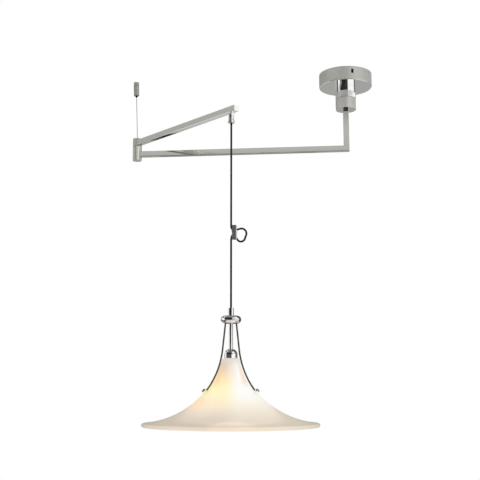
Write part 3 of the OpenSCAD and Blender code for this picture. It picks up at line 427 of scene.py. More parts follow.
mitre = Vector((0, 0, -ARM_Z)) * MM
along = Vector((math.cos(ARM_TURN), math.sin(ARM_TURN), 0))
drop = arm_piece("drop_arm", ARM_Z + TUBE / 2 - HUB_END + 3,
                 turn(ARM_TURN) @ moved(z=-ARM_Z - TUBE / 2) @ turn(-math.pi / 2, "Y"),
                 (mitre, along + Vector((0, 0, -1))))
fixed = arm_piece("fixed_arm", ARM_L + TUBE / 2 - KNUCKLE_R + 2, AT_ARM @ moved(-TUBE / 2),
                  (mitre, -along + Vector((0, 0, 1))))
swing = arm_piece("swing_arm", SWING_L - 3 - KNUCKLE_R + 2, AT_SWING @ moved(KNUCKLE_R - 2))
PLUG_L = 2.9
plug = bar("swing_arm_plug", PLUG_L, TUBE, TUBE, TUBE_ROUND, AT_SWING @ moved(SWING_L - PLUG_L))
plug = soften(plug, 0.35)

# Elbow
lower_knuckle = turned("elbow_lower", rounded(
    (PIN_ROOM, -LOWER_TOP - 8.5), (PIN_ROOM, -LOWER_TOP), (KNUCKLE_R, -LOWER_TOP, 0.4),
    (KNUCKLE_R, -LOWER_END, 0.5), (0, -LOWER_END), (0, -LOWER_TOP - 8.5)), AT_ELBOW)
upper_knuckle = turned("elbow_upper", rounded(
    (PIN_ROOM + 0.05, -UPPER_END), (PIN_ROOM + 0.05, -UPPER_END + 1.6), (CAP_R + 0.03, -UPPER_END + 1.6),
    (CAP_R + 0.03, -UPPER_TOP, 0.2), (KNUCKLE_R, -UPPER_TOP, 0.4), (KNUCKLE_R, -UPPER_END, 0.4)), AT_ELBOW)
cap = turned("elbow_cap", rounded(
    (1.4, -UPPER_TOP - 3), (1.4, -UPPER_TOP, 0.3), (CAP_R, -UPPER_TOP, 0.3), (CAP_R, -UPPER_TOP - 3)),
    AT_ELBOW)

# Wire, its gripper and the boss against the ceiling
GRIP_END, GRIPPER_R = GRIPPER_TOP - 24, 6.25
WIRE_R, WIRE_L, STRANDS, GROOVE = 0.8, GRIP_END + 16.5, 6, 0.11
TWISTS, TWIST = 90, math.radians(28)
wire = disc("support_rope", WIRE_R * MM, 6 * STRANDS)
for vert in wire.data.vertices:
    a = math.atan2(vert.co.y, vert.co.x)
    vert.co *= 1 - GROOVE * (1 - abs(math.cos(STRANDS / 2 * a)))
edit(wire)
bpy.ops.mesh.select_all(action="SELECT")
for k in range(TWISTS):
    extrude((0, 0, WIRE_L * MM / TWISTS))
    bpy.ops.transform.rotate(value=-TWIST, orient_axis="Z", center_override=(0, 0, 0))
close_up(wire, AT_WIRE, angle=60)
gripper = turned("wire_gripper", rounded(
    (2.55, GRIP_END, 0.4), (2.55, GRIP_END + 4), (4.55, GRIP_END + 4), (4.55, GRIP_END + 16.8),
    (1.0, GRIP_END + 16.8), (1.0, GRIPPER_TOP), (GRIPPER_R, GRIPPER_TOP, 0.6), (GRIPPER_R, GRIP_END, 0.6)),
    AT_WIRE)
boss = turned("ceiling_boss_round", rounded(
    (0, -BOSS_H), (0, -THREAD_DEEP), (THREAD_R, -THREAD_DEEP), (THREAD_R, 0), (GRIPPER_R, 0, 0.4),
    (GRIPPER_R, -BOSS_H, 0.6)), AT_ELBOW @ turn(ARM_TURN) @ moved(BOSS_OUT))
button = turned("gripper_button", rounded(
    (0.85, GRIP_END - 3.4, 0.2), (0.85, GRIP_END + 6), (4.2, GRIP_END + 6), (4.2, GRIP_END + 4.05),
    (2.5, GRIP_END + 4.05), (2.5, GRIP_END - 3.4, 0.6)), AT_WIRE)


def grub_place(z, out):
    """A place in the side of the gland or the nipple, where its small screw goes in."""
    return AT_CORD @ moved(z=z) @ turn(SCREW_TURN) @ moved(out) @ turn(math.pi / 2, "Y")


# Gland on the swing arm's tip
gland = turned("cord_gland_body", rounded(
    (4, -GLAND_END), (4, -GLAND_TOP + 1), (GLAND_R, -GLAND_TOP + 0.02, 0.3), (GLAND_R, -GLAND_END, 0.3)),
    AT_CORD)
gland_ring = turned("cord_gland_ring", rounded(
    (2.6, -GLAND_END), (RING_R, -GLAND_END, 0.5), (RING_R, -RING_MOUTH, 0.7), (4.6, -RING_MOUTH, 0.4),
    (2.6, -PIVOT_Z, 0.4), steps=5), AT_CORD)
gland_screw = screw("gland_grub", GRUB_R, 1.9, grub_place(GLAND_SCREW_Z, GLAND_R - 0.1))
gland = cut(gland, rod_cutter(GRUB_HOLE_R, 4, grub_place(GLAND_SCREW_Z, GLAND_R)))
close_up(gland)

# Crown of the pendant
nipple = turned("cord_nipple_round", rounded(
    (2.6, -CROWN_TOP - 4, 0.1), (2.6, -NIPPLE_TOP - 2.2, 0.5), (4.6, -NIPPLE_TOP, 0.3),
    (NIPPLE_R, -NIPPLE_TOP, 0.7), (NIPPLE_R, -CROWN_TOP), (4, -CROWN_TOP), (4, -CROWN_TOP - 4), steps=5),
    AT_CORD)
nipple = cut(nipple, rod_cutter(GRUB_HOLE_R, 4, grub_place(NIPPLE_SCREW_Z, NIPPLE_R + 0.05)))
close_up(nipple)
nipple_screw = screw("nipple_grub", GRUB_R, 2.9, grub_place(NIPPLE_SCREW_Z, NIPPLE_R - 0.25))
EDGE = (CROWN_END - CROWN_TOP) / 2
crown = turned("crown_disc", [
    (0, -CROWN_TOP), *bow(CROWN_R - EDGE, -CROWN_TOP - EDGE, EDGE, 0, 180, 28),
    (0, -CROWN_END), (0, -CROWN_TOP)], AT_CORD, sides=128)
TUBE_R, TUBE_BORE = 4.0, 2.8
centre = turned("centre_stem", rounded(
    (TUBE_BORE, -DOME_TOP - 6.8), (TUBE_BORE, -CROWN_END + 3), (TUBE_R, -CROWN_END + 3),
    (TUBE_R, -DOME_TOP - 6.8)), AT_CORD, sides=64)
DOME_R, DOME_WALL, CREST = 12.9, 1.4, 2.0
DROP, DOME_HOLE = DOME_R - CREST, TUBE_R + 0.03
dome = turned("dome_round", [
    (DOME_HOLE, -DOME_TOP), *bow(CREST, -DOME_TOP - DROP, DROP, 0, 90, 16),
    (DOME_R, -DOME_END + 0.3), (DOME_R - 0.3, -DOME_END), (DOME_R - DOME_WALL, -DOME_END),
    *bow(CREST, -DOME_TOP - DROP, DROP - DOME_WALL, 90, 0, 12),
    (DOME_HOLE, -DOME_TOP - DOME_WALL), (DOME_HOLE, -DOME_TOP)], AT_CORD, sides=128, angle=40)

# Bell of opal glass, as radius and depth below its neck
NECK = Vector((16.3, 0))
OUT_1, OUT_2, RIM = Vector((34.7, 55)), Vector((82.6, 116.3)), Vector((169.5, 123.7))
THIN, THICK, CLIP_AT = 3.5, 7.0, 0.407
ROD_WAYS = [math.radians(way) for way in (210, 330, 90)]


def bell(t):
    """The outer face of the bell, from its neck at 0 to its rim at 1."""
    u = 1 - t
    return u ** 3 * NECK + 3 * u * u * t * OUT_1 + 3 * u * t * t * OUT_2 + t ** 3 * RIM


def bell_out(t):
    """The way that the outer face looks there."""
    u = 1 - t
    way = (u * u * (OUT_1 - NECK) + 2 * u * t * (OUT_2 - OUT_1) + t * t * (RIM - OUT_2)).normalized()
    return Vector((way.y, -way.x))


def bell_inner(t):
    return bell(t) - (THIN + (THICK - THIN) * t) * bell_out(t)


lip_middle = (bell(1) + bell_inner(1)) / 2
lip_turn = math.atan2(bell_out(1).x, -bell_out(1).y)
lip = [lip_middle + THICK / 2 * Vector((math.cos(a), -math.sin(a)))
       for a in [math.pi / 2 - lip_turn - math.pi * k / 18 for k in range(1, 18)]]
shares = [k / 56 for k in range(57)]
bell_line = [bell(t) for t in shares] + lip + [bell_inner(1 - t) for t in shares] + [bell(0)]
glass = turned("opal_bell", [(p.x, -p.y) for p in bell_line], AT_CORD @ moved(z=-NECK_Z),
               sides=224, angle=50)

# Rods and their clips
ROD_R, ROD_DEEP, CLIP_R, CLIP_GAP, WASHER, BARREL = 1.7, 4.5, 4.3, 0.18, 0.5, 8.0
ROD_LEVEL, ROD_IN = 0.26 * BARREL, 0.47 * CLIP_R
foot, foot_way = bell(CLIP_AT), bell_out(CLIP_AT)
slope_way = Vector((-foot_way.y, foot_way.x))
seat = foot + (CLIP_GAP + WASHER) * foot_way
rod_end = seat + ROD_LEVEL * foot_way - (CLIP_R - ROD_IN) * slope_way
rod_start = Vector((12.4, CROWN_END - NECK_Z))
START_SLOPE, END_SLOPE = math.radians(7), math.atan2(slope_way.x, slope_way.y)
run = rod_end - rod_start
bend_share = math.cos(END_SLOPE - START_SLOPE) - 1
BEND_R = (math.sin(START_SLOPE) * run.y - math.cos(START_SLOPE) * run.x) / bend_share
STRAIGHT = (run.x * (math.sin(END_SLOPE) - math.sin(START_SLOPE))
            - run.y * (math.cos(START_SLOPE) - math.cos(END_SLOPE))) / bend_share


def shade_rod(name, way):
    """A round rod: straight out of the crown, then spun about the middle of its bend."""
    rod = disc(name, ROD_R * MM, 28)
    rod.data.transform(moved(rod_start.x, 0, -rod_start.y) @ turn(-START_SLOPE, "Y") @ moved(z=ROD_DEEP))
    edit(rod)
    bpy.ops.mesh.select_all(action="SELECT")
    down = Vector((math.sin(START_SLOPE), 0, -math.cos(START_SLOPE)))
    extrude(down * (STRAIGHT + ROD_DEEP) * MM)
    middle = (Vector((rod_start.x, 0, -rod_start.y)) + down * STRAIGHT
              + Vector((math.cos(START_SLOPE), 0, math.sin(START_SLOPE))) * BEND_R) * MM
    bpy.ops.mesh.spin(steps=24, angle=END_SLOPE - START_SLOPE, center=middle, axis=(0, 1, 0))
    return close_up(rod, AT_CORD @ moved(z=-NECK_Z) @ turn(way), angle=50)


rods = [shade_rod("rod_" + where, way) for where, way in zip(("left", "right", "back"), ROD_WAYS)]
barrels, clip_screws, washers = [], [], []
wall_there = THIN + (THICK - THIN) * CLIP_AT
for way in ROD_WAYS:
    at_clip = (AT_CORD @ moved(z=-NECK_Z) @ turn(way) @ moved(foot.x, 0, -foot.y)
               @ turn(math.atan2(foot_way.x, -foot_way.y), "Y"))
    outer, inner = CLIP_GAP + WASHER, -wall_there - CLIP_GAP - WASHER
    barrels.append(turned("clip", rounded(
        (0, outer), (CLIP_R, outer, 0.3), (CLIP_R, outer + BARREL - 1, 0.9),
        (CLIP_R - 1, outer + BARREL, 0.4), (0, outer + BARREL), steps=5), at_clip, sides=72))
    clip_screws.append(turned("clip_head", rounded(
        (0, inner - 2), (0, 5), (2, 5), (2, inner), (CLIP_R + 0.1, inner, 0.3),
        (CLIP_R + 0.1, inner - 2, 0.8)), at_clip, sides=64))
    for low in (CLIP_GAP, inner):
        washers.append(turned("washer", rounded(
            (2.03, low), (2.03, low + WASHER), (CLIP_R, low + WASHER, 0.15), (CLIP_R, low, 0.15), steps=3),
            at_clip, sides=64))
barrels = joined("clip_barrels_round", *barrels)
clip_screws = joined("clip_screws_round", *clip_screws)
washers = joined("clip_washers_round", *washers)

# Lamp and its holder
holder = turned("lampholder_round", rounded(
    (0, -HOLDER_TOP), (HOLDER_R, -HOLDER_TOP, 0.8), (HOLDER_R, -HOLDER_TOP - 12, 0.2),
    (HOLDER_R - 0.6, -HOLDER_TOP - 12.6, 0.3), (HOLDER_R - 0.6, -HOLDER_END + 1, 0.3),
    (HOLDER_R, -HOLDER_END + 0.5, 0.2), (HOLDER_R, -HOLDER_END, 0.6), (7.3, -HOLDER_END, 0.5),
    (7.3, -HOLDER_END + 6), (0, -HOLDER_END + 6), steps=5), AT_CORD)
bulb_line = bow(0, -LAMP_END + LAMP_R, LAMP_R, 180, 90, 14) + [
    (LAMP_R, -HOLDER_END + 3), (6.2, -HOLDER_END + 5), (0, -HOLDER_END + 5)]
bulb_inside = bow(0, -LAMP_END + LAMP_R, LAMP_R - 1, 180, 90, 14) + [
    (LAMP_R - 1, -HOLDER_END + 1), (0, -HOLDER_END + 1)]
bulb = turned("lamp_capsule", bulb_line + [bulb_line[0]], AT_CORD, angle=40)
bulb_room = turned("lamp_room", bulb_inside + [bulb_inside[0]], AT_CORD, angle=40)
bulb_room.data.flip_normals()
bulb = joined("lamp_capsule", bulb, bulb_room)
light_rod = turned("lamp_rod", rounded(
    (0, -LAMP_END + LAMP_R), (2, -LAMP_END + LAMP_R, 1.5), (2, -HOLDER_END - 3, 0.6),
    (0, -HOLDER_END - 3), steps=5), AT_CORD, sides=48)
gasket = turned("neck_ring", rounded(
    (10.8, -NECK_Z), (10.8, -DOME_END, 0.1), (DOME_R, -DOME_END, 0.2), (DOME_R, -NECK_Z, 0.2), steps=3),
    AT_CORD)


# Finishes: a small way to write shader sums

class Reading:
    """A socket of a finish, with the sums that the finishes use."""

    def __init__(self, finish, socket):
        self.finish, self.socket = finish, socket

    def sum_with(self, how, *others):
        return self.finish.node("ShaderNodeMath", {"operation": how}, *others)

    def __add__(self, other):
        return self.sum_with("ADD", self, other)

    __radd__ = __add__

    def __mul__(self, other):
        return self.sum_with("MULTIPLY", self, other)

    __rmul__ = __mul__

    def __sub__(self, other):
        return self.sum_with("SUBTRACT", self, other)

    def __rsub__(self, other):
        return self.sum_with("SUBTRACT", other, self)

    def __truediv__(self, other):
        return self.sum_with("DIVIDE", self, other)


class Finish:
    """A material whose last node is one glossy or dull surface."""

    def __init__(self, name):
        self.material = bpy.data.materials.new(name)
        self.material.use_nodes = True
        self.tree = self.material.node_tree
        self.surface = next(n for n in self.tree.nodes if n.type == "BSDF_PRINCIPLED")

    def node(self, kind, settings, *values, out=0, **named):
        """Adds a node: its settings first, then the values or links of its sockets."""
        made = self.tree.nodes.new(kind)
        for key, value in settings.items():
            if key == "stops":
                while len(made.color_ramp.elements) > 1:
                    made.color_ramp.elements.remove(made.color_ramp.elements[-1])
                for i, (place, colour) in enumerate(value):
                    stop = made.color_ramp.elements[0] if i == 0 else made.color_ramp.elements.new(place)
                    stop.position, stop.color = place, (*colour, 1)
            else:
                setattr(made, key, value)
        pairs = list(enumerate(values)) + [(name.replace("_", " "), v) for name, v in named.items()]
        for key, value in pairs:
            if isinstance(key, str):
                key = next(i for i, s in enumerate(made.inputs)
                           if s.enabled and s.name.lower() == key.lower())
            self.feed(made.inputs[key], value)
        return Reading(self, made.outputs[out])

    def feed(self, socket, value):
        if isinstance(value, Reading):
            self.tree.links.new(value.socket, socket)
        elif value is not None:
            if hasattr(socket.default_value, "__len__") and not hasattr(value, "__len__"):
                value = (value,) * len(socket.default_value)
            if socket.type == "RGBA" and len(value) == 3:
                value = (*value, 1)
            socket.default_value = value

    def set(self, **values):
        for name, value in values.items():
            self.feed(self.surface.inputs[name.replace("_", " ").title().replace("Ior", "IOR")], value)

    def place(self):
        return self.node("ShaderNodeTexCoord", {}, out=3)

    def stretched(self, place, turned_by=(0, 0, 0), scale=(1, 1, 1)):
        return self.node("ShaderNodeMapping", {"vector_type": "POINT"}, place, (0, 0, 0), turned_by, scale)

    def noise(self, place, scale, detail, rough=0.55):
        return self.node("ShaderNodeTexNoise", {}, Vector=place, Scale=scale, Detail=detail, Roughness=rough)

    def mixed(self, share, first, second):
        made = self.node("ShaderNodeMix", {"data_type": "RGBA"}, Factor=share, A=first, B=second)
        made.socket = next(s for s in made.socket.node.outputs if s.enabled)
        return made

    def part(self, place, axis):
        made = self.node("ShaderNodeSeparateXYZ", {}, place)
        made.socket = made.socket.node.outputs["XYZ".index(axis)]
        return made

    def between(self, value, low, high, first=0.0, last=1.0):
        return self.node("ShaderNodeMapRange", {"clamp": True}, value, low, high, first, last)

    def bump(self, height, strength, distance):
        return self.node("ShaderNodeBump", {}, Strength=strength, Distance=distance, Height=height)


def metal(name, colour, dark, rough, brushed=None, turned_by=(0, 0, 0), soft=0.05, grain=0.12, share=1.0,
          polished=None, up=0.25, lower_tone=(0.97, 0.963, 0.925), slot=None):
    """Polished or satin metal: a faint drawn grain, soft smears and small changes of gloss.

    The lower face, up to a little above the height given as polished, is polished and takes the lower tone:
    a brighter metal on the cup and hub, and on the crown a dark grey that is a painted dark reflection. The
    slot is the turn and the height of the two upright slots whose walls are painted near black as painted
    shade."""
    finish = Finish(name)
    place = finish.place()
    smears = finish.noise(place, 38, 4, 0.6)
    fine = finish.noise(place, 900, 2, 0.5)
    if brushed:
        lines = finish.noise(finish.stretched(place, turned_by=turned_by, scale=brushed), 1.0, 3, 0.6)
    else:
        lines = fine
    tone = finish.between(smears * 0.6 + lines * 0.4, 0.35, 0.65)
    skin = finish.mixed(tone, dark, colour)
    gloss = finish.between(smears * 0.7 + lines * 0.3, 0.3, 0.7, rough, rough + soft)
    if polished is not None:
        face = finish.between(finish.part(place, "Z"), (polished + up) * MM, (polished + 0.2 * up) * MM)
        skin = finish.mixed(face, skin, lower_tone)
        gloss = gloss * (1 - face) + face * 0.05
        share = share + face * (1 - share)
    if slot is not None:
        # Painted shade: the walls of the two shallow slots in the cup are painted near black
        there = finish.stretched(place, turned_by=(0, 0, -slot[0]))
        side, height = finish.part(there, "Y"), finish.part(there, "Z") - slot[1] * MM
        tall = SLOT_R + SLOT_RISES[-1]
        black = (finish.between(side.sum_with("ABSOLUTE", side), (SLOT_R + 0.05) * MM, (SLOT_R - 0.1) * MM)
                 * finish.between(height.sum_with("ABSOLUTE", height), (tall + 0.2) * MM, tall * MM))
        skin = finish.mixed(black, skin, (0.006, 0.006, 0.006))
        gloss = gloss + black * 0.3
    finish.set(base_color=skin, metallic=share, roughness=gloss,
               normal=finish.bump(lines * 0.7 + fine * 0.3, grain, 0.00008))
    return finish.material


def plain(name, colour, other, rough, coat=0.0):
    """Plastic, ceramic or rubber: two near colours, a fine grain and uneven gloss."""
    finish = Finish(name)
    place = finish.place()
    wide = finish.noise(place, 30, 3)
    fine = finish.noise(place, 720, 2)
    finish.set(base_color=finish.mixed(finish.between(wide, 0.35, 0.65), colour, other),
               roughness=finish.between(wide * 0.5 + fine * 0.5, 0.3, 0.7, rough - 0.06, rough + 0.06),
               normal=finish.bump(fine, 0.2, 0.0002), coat_weight=coat)
    return finish.material


SATIN, SATIN_DARK = (0.49, 0.49, 0.455), (0.44, 0.44, 0.41)
ARM_METAL, ARM_DARK = (0.88, 0.88, 0.82), (0.82, 0.82, 0.76)
CHROME, CHROME_DARK = (0.98, 0.98, 0.965), (0.94, 0.94, 0.925)
satin = metal("satin_nickel", SATIN, SATIN_DARK, 0.36, soft=0.07, share=0.6)
satin_cup = metal("satin_nickel_cup", (0.52, 0.52, 0.483), (0.467, 0.467, 0.435), 0.36, soft=0.07, share=0.6,
                  polished=-CUP_H, up=1.2, slot=(STRAP_TURN, -SIDE_SCREW_Z))
satin_warm = metal("satin_nickel_warm", (0.42, 0.415, 0.365), (0.36, 0.355, 0.31), 0.30, soft=0.07, share=0.7)
satin_hub = metal("satin_nickel_hub", (0.61, 0.595, 0.55), (0.56, 0.545, 0.505), 0.36, soft=0.07, share=0.6,
                  polished=-HUB_END, lower_tone=(0.88, 0.87, 0.83))
satin_arm, satin_swing = [
    metal("satin_nickel_" + where, ARM_METAL, ARM_DARK, 0.07, brushed=(25, 700, 700), turned_by=(0, 0, -way),
          grain=0.05) for where, way in (("arm", ARM_TURN), ("swing", SWING_TURN))]
bright_nickel = metal("bright_nickel", (0.86, 0.86, 0.80), (0.80, 0.80, 0.74), 0.08, soft=0.04, grain=0.04)
chrome = metal("polished_chrome", CHROME, CHROME_DARK, 0.05, soft=0.03, grain=0.03)
# Painted dark reflection: the polished lower face of the crown is made dark grey
crown_chrome = metal("polished_chrome_crown", CHROME, CHROME_DARK, 0.05, soft=0.03, grain=0.03,
                     polished=-CROWN_END, up=0.8, lower_tone=(0.25, 0.245, 0.22))
# Painted dark reflection: the polished steel of the shade rods is given a dark tone, standing in for the dark
# room they mirror
rod_steel_painted_dark = metal("dark_polished_steel", (0.22, 0.23, 0.20), (0.18, 0.19, 0.165), 0.14, grain=0.03)
zinc = metal("zinc_plate", (0.62, 0.63, 0.65), (0.50, 0.51, 0.54), 0.32, soft=0.12, grain=0.3)
black_metal = metal("black_oxide", (0.012, 0.012, 0.013), (0.007, 0.007, 0.008), 0.42, soft=0.15, grain=0.3)
brass = metal("plain_brass", (0.72, 0.52, 0.22), (0.62, 0.43, 0.17), 0.25, soft=0.12)
rope_metal = metal("stranded_steel", (0.55, 0.55, 0.54), (0.40, 0.40, 0.39), 0.28, soft=0.15)
spring_metal = metal("spring_wire", (0.45, 0.45, 0.46), (0.35, 0.35, 0.36), 0.25, soft=0.12)
nylon = plain("grey_nylon_washer", (0.06, 0.06, 0.062), (0.08, 0.08, 0.082), 0.5)
milky = plain("milky_nylon", (0.62, 0.60, 0.55), (0.70, 0.68, 0.63), 0.4)
ceramic = plain("glazed_ceramic", (0.78, 0.76, 0.72), (0.83, 0.81, 0.77), 0.2, coat=0.5)
rubber = plain("black_rubber_bush", (0.02, 0.02, 0.02), (0.032, 0.032, 0.032), 0.6)


def cord_skin():
    """Round black cord: a fine pressed grain along it, dust and a dull sheen."""
    finish = Finish("black_cord_skin")
    place = finish.place()
    chart = finish.node("ShaderNodeTexCoord", {}, out=2)
    lay = finish.node("ShaderNodeTexWave", {"bands_direction": "DIAGONAL"},
                      Vector=finish.stretched(chart, scale=(8, 10, 1)), Scale=1.0, Distortion=0.3, Detail=1.0)
    lay.socket = lay.socket.node.outputs[1]
    dust = finish.noise(place, 160, 4, 0.6)
    fine = finish.noise(place, 2600, 2)
    finish.set(base_color=finish.mixed(finish.between(dust, 0.4, 0.7), (0.012, 0.012, 0.013),
                                       (0.024, 0.024, 0.025)),
               roughness=finish.between(dust * 0.5 + fine * 0.5, 0.3, 0.7, 0.55, 0.68),
               normal=finish.bump(lay * 0.6 + fine * 0.4, 0.15, 0.0001), specular_ior_level=0.18)
    return finish.material


def opal():
    """Opal glass whose light from inside is painted on as an emission colour: warm and bright round the lamp,
    greyer towards the rim.
    """
    finish = Finish("opal_glass_lit")
    place = finish.place()
    local = finish.node("ShaderNodeVectorMath", {"operation": "SUBTRACT"}, place, tuple(CORD))
    height, across = finish.part(local, "Z"), finish.part(local, "X")
    cloud = finish.noise(place, 14, 3, 0.5)
    neck, lip = -0.655, -0.786
    down = finish.between(height + (cloud - 0.5) * 0.004, neck, lip)
    warm = finish.node("ShaderNodeValToRGB", {"stops": [
        (0.00, (0.72, 0.67, 0.59)), (0.09, (0.71, 0.60, 0.48)), (0.18, (0.83, 0.66, 0.46)),
        (0.27, (0.97, 0.74, 0.46)), (0.36, (0.98, 0.85, 0.47)), (0.45, (0.98, 0.91, 0.53)),
        (0.55, (0.98, 0.90, 0.58)), (0.62, (0.97, 0.84, 0.57)), (0.69, (0.94, 0.80, 0.60)),
        (0.77, (0.80, 0.70, 0.57)), (0.86, (0.73, 0.63, 0.52)), (0.93, (0.70, 0.61, 0.49)),
        (0.97, (0.80, 0.68, 0.54)), (1.0, (0.88, 0.76, 0.62))]}, down)
    pale = finish.node("ShaderNodeValToRGB", {"stops": [
        (0.00, (0.74, 0.72, 0.65)), (0.10, (0.95, 0.94, 0.92)), (0.48, (0.97, 0.965, 0.93)),
        (0.58, (0.96, 0.94, 0.86)), (0.67, (0.94, 0.87, 0.76)), (0.76, (0.87, 0.79, 0.67)),
        (0.86, (0.80, 0.71, 0.60)), (0.94, (0.82, 0.71, 0.56)), (1.0, (0.89, 0.78, 0.63))]}, down)
    # Painted light: from left to right the glow turns from the warm ramp to the pale one, whiter as if lit by
    # a lamp on the right
    skin = finish.mixed(finish.between(across, -0.012, 0.016), warm, pale)
    # Painted shade: both sides of the flare are greyer
    ends = finish.between(across.sum_with("ABSOLUTE", across), 0.09, 0.17)
    skin = finish.mixed(ends * finish.between(down, 0.6, 0.8) * 0.32, skin, (0.40, 0.36, 0.30))
    rim = finish.node("ShaderNodeLayerWeight", {}, 0.5, out=1)
    edge = finish.between(rim, 0.72, 0.97)
    low, left = finish.between(down, 0.66, 0.76), finish.between(across, 0.0, -0.01)
    # Painted light where the wall is seen edge on: an orange line by the neck, then yellow, and peach low on
    # the left
    line = finish.between(rim, 0.27, 0.37) * finish.between(rim, 0.56, 0.46)
    skin = finish.mixed(line * finish.between(down, 0.44, 0.33) * finish.between(down, 0.02, 0.12) * 0.6,
                        skin, (0.93, 0.62, 0.35))
    skin = finish.mixed(finish.between(rim, 0.46, 0.62) * finish.between(down, 0.56, 0.50)
                        * finish.between(down, 0.24, 0.34) * (left * 0.55 + 0.15), skin, (0.95, 0.82, 0.36))
    skin = finish.mixed(finish.between(rim, 0.40, 0.60) * left * finish.between(down, 0.54, 0.59)
                        * finish.between(down, 0.80, 0.68) * 0.6, skin, (0.97, 0.74, 0.50))
    # Painted light: a flat patch at the front where the far rim would shine through; painted shade: the last
    # edge low on the bell is dark
    ahead = finish.between(finish.part(local, "Y"), -0.02, -0.08)
    spread, rise = (across - 0.002) / 0.045, (down - 0.96) / 0.08
    lens = finish.between(spread * spread + rise * rise, 1.0, 0.55) * ahead
    skin = finish.mixed(lens * 0.55, skin, (0.93, 0.78, 0.62))
    skin = finish.mixed(edge * low * 0.55, skin, (0.30, 0.29, 0.24))
    finish.set(base_color=(0.05, 0.048, 0.044), roughness=finish.between(cloud, 0.3, 0.7, 0.12, 0.2),
               emission_color=skin, emission_strength=0.97, specular_ior_level=0.0,
               coat_weight=(1 - edge) * 0.25, coat_roughness=0.12, ior=1.5)
    return finish.material


def lamp_glass():
    """Clear glass of the lamp, with a faint haze."""
    finish = Finish("lamp_clear_glass")
    haze = finish.noise(finish.place(), 220, 3)
    finish.set(base_color=finish.mixed(finish.between(haze, 0.3, 0.7), (0.97, 0.96, 0.93), (1, 1, 1)),
               roughness=finish.between(haze, 0.3, 0.7, 0.02, 0.05), transmission_weight=1.0, ior=1.45)
    return finish.material


def lamp_light():
    """The part of the lamp that glows."""
    finish = Finish("lamp_warm_light")
    spots = finish.noise(finish.place(), 500, 2)
    finish.set(base_color=(0.9, 0.7, 0.4), roughness=0.5,
               emission_color=finish.mixed(finish.between(spots, 0.35, 0.65), (1.0, 0.72, 0.36),
                                           (1.0, 0.84, 0.55)), emission_strength=3.0)
    return finish.material


cord_black, glass_lit = cord_skin(), opal()
clear_lamp, warm_light = lamp_glass(), lamp_light()


def dress(piece, material):
    piece.data.materials.clear()
    piece.data.materials.append(material)


# The new pieces on each body, what each stands for and its finish
STANDS_FOR = {
    "ceiling": [(cup, "canopy_cup", satin_cup), (side_screws, "canopy_screws", black_metal),
                (sleeve, "fixed_sleeve", chrome)],
    "main_arm": [(hub, "swivel_hub", satin_hub), (drop, "drop_tube", bright_nickel),
                 (fixed, "main_arm_tube", satin_arm), (lower_knuckle, "lower_knuckle", bright_nickel),
                 (wire, "support_wire", rope_metal), (boss, "ceiling_boss", satin_warm),
                 (gripper, "gripper_body", satin_warm)],
    "button": [(button, "release_button", black_metal)],
    "swing_arm": [(upper_knuckle, "upper_knuckle", satin), (cap, "knuckle_cap", satin),
                  (swing, "swing_arm_tube", satin_swing), (plug, "arm_tip_plug", chrome),
                  (gland, "cord_gland", chrome), (gland_ring, "gland_ring", chrome),
                  (gland_screw, "gland_screw", black_metal)],
    "hanging_cord": [(adjuster, "cord_adjuster", chrome)],
    "pendant": [(nipple, "cord_nipple", chrome), (nipple_screw, "nipple_screw", black_metal),
                (crown, "crown", crown_chrome), (centre, "centre_tube", chrome),
                (rods[0], "shade_rod_left", rod_steel_painted_dark), (rods[1], "shade_rod_right", rod_steel_painted_dark),
                (rods[2], "shade_rod_back", rod_steel_painted_dark), (barrels, "clip_barrels", chrome),
                (clip_screws, "clip_screws", chrome), (washers, "clip_washers", milky),
                (dome, "dome_cap", chrome), (holder, "lampholder", ceramic),
                (bulb, "lamp_bulb", clear_lamp), (light_rod, "lamp_core", warm_light),
                (gasket, "neck_gasket", milky), (glass, "glass_shade", glass_lit)],
}
for body, dressed in STANDS_FOR.items():
    for piece, node, material in dressed:
        dress(piece, material)
        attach(piece, body)
        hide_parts(node)

node_body = {node: body for body, nodes in frame["record"]["behaviour"]["bodies"].items() for node in nodes}
EASED = {
    "ceiling_strap": zinc, "spindle": zinc, "spindle_nut": brass, "swivel_washer": nylon,
    "terminal_block": ceramic, "terminal_screws": brass, "feed_lead": cord_black, "hub_plate": zinc,
    "hinge_pin": zinc, "hinge_washer": nylon, "pin_ring": zinc, "wire_ball": rope_metal,
    "gripper_jaws": brass, "gripper_spring": spring_metal, "gland_bush": rubber, "holder_plate": zinc,
    "holder_screws": zinc, "lamp_pins": spring_metal, "arm_lead": cord_black,
    "swing_lead": cord_black, "pendant_lead": cord_black,
}
for node, material in EASED.items():
    piece = eased(node, 50 if "lead" in node or "spring" in node else 38)
    dress(piece, material)
    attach(piece, node_body[node])
    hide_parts(node)
    if node == "gripper_spring":
        # Finds the spring's ends and its length along the wire, and gives the piece a mesh of its own
        upwards = (AT_WIRE.to_3x3() @ Vector((0, 0, 1))).normalized()
        ends = sorted((vertex.co for vertex in piece.data.vertices), key=lambda place: place.dot(upwards))
        spring_l = (ends[-1] - ends[0]).dot(upwards)
        ends[-1].copy()
        1 - 2.05 * MM / spring_l
        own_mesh(piece)

for piece in (cord_top, cord_spare, cord_mid, cord_end):
    dress(piece, cord_black)
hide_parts("cord_upper")
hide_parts("cord_loop")
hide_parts("cord_lower")
upper_way[0] - Vector((0, 0, 0.03))
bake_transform(cord_top)
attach(cord_spare, "hanging_cord")
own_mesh(cord_spare)
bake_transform(cord_mid)
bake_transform(cord_end)
length_of(upper_way)
length_of(loop_way)
length_of(lower_way)
length_of(last_way)

# Floor, light and background
FLOOR_R, FLOOR_Z = 2.4, -1.32
floor = disc("floor", FLOOR_R, 96, (CORD.x, CORD.y, FLOOR_Z))
floor_finish = Finish("pale_floor")
floor_finish.set(base_color=(0.80, 0.80, 0.79), roughness=0.8)
dress(floor, floor_finish.material)


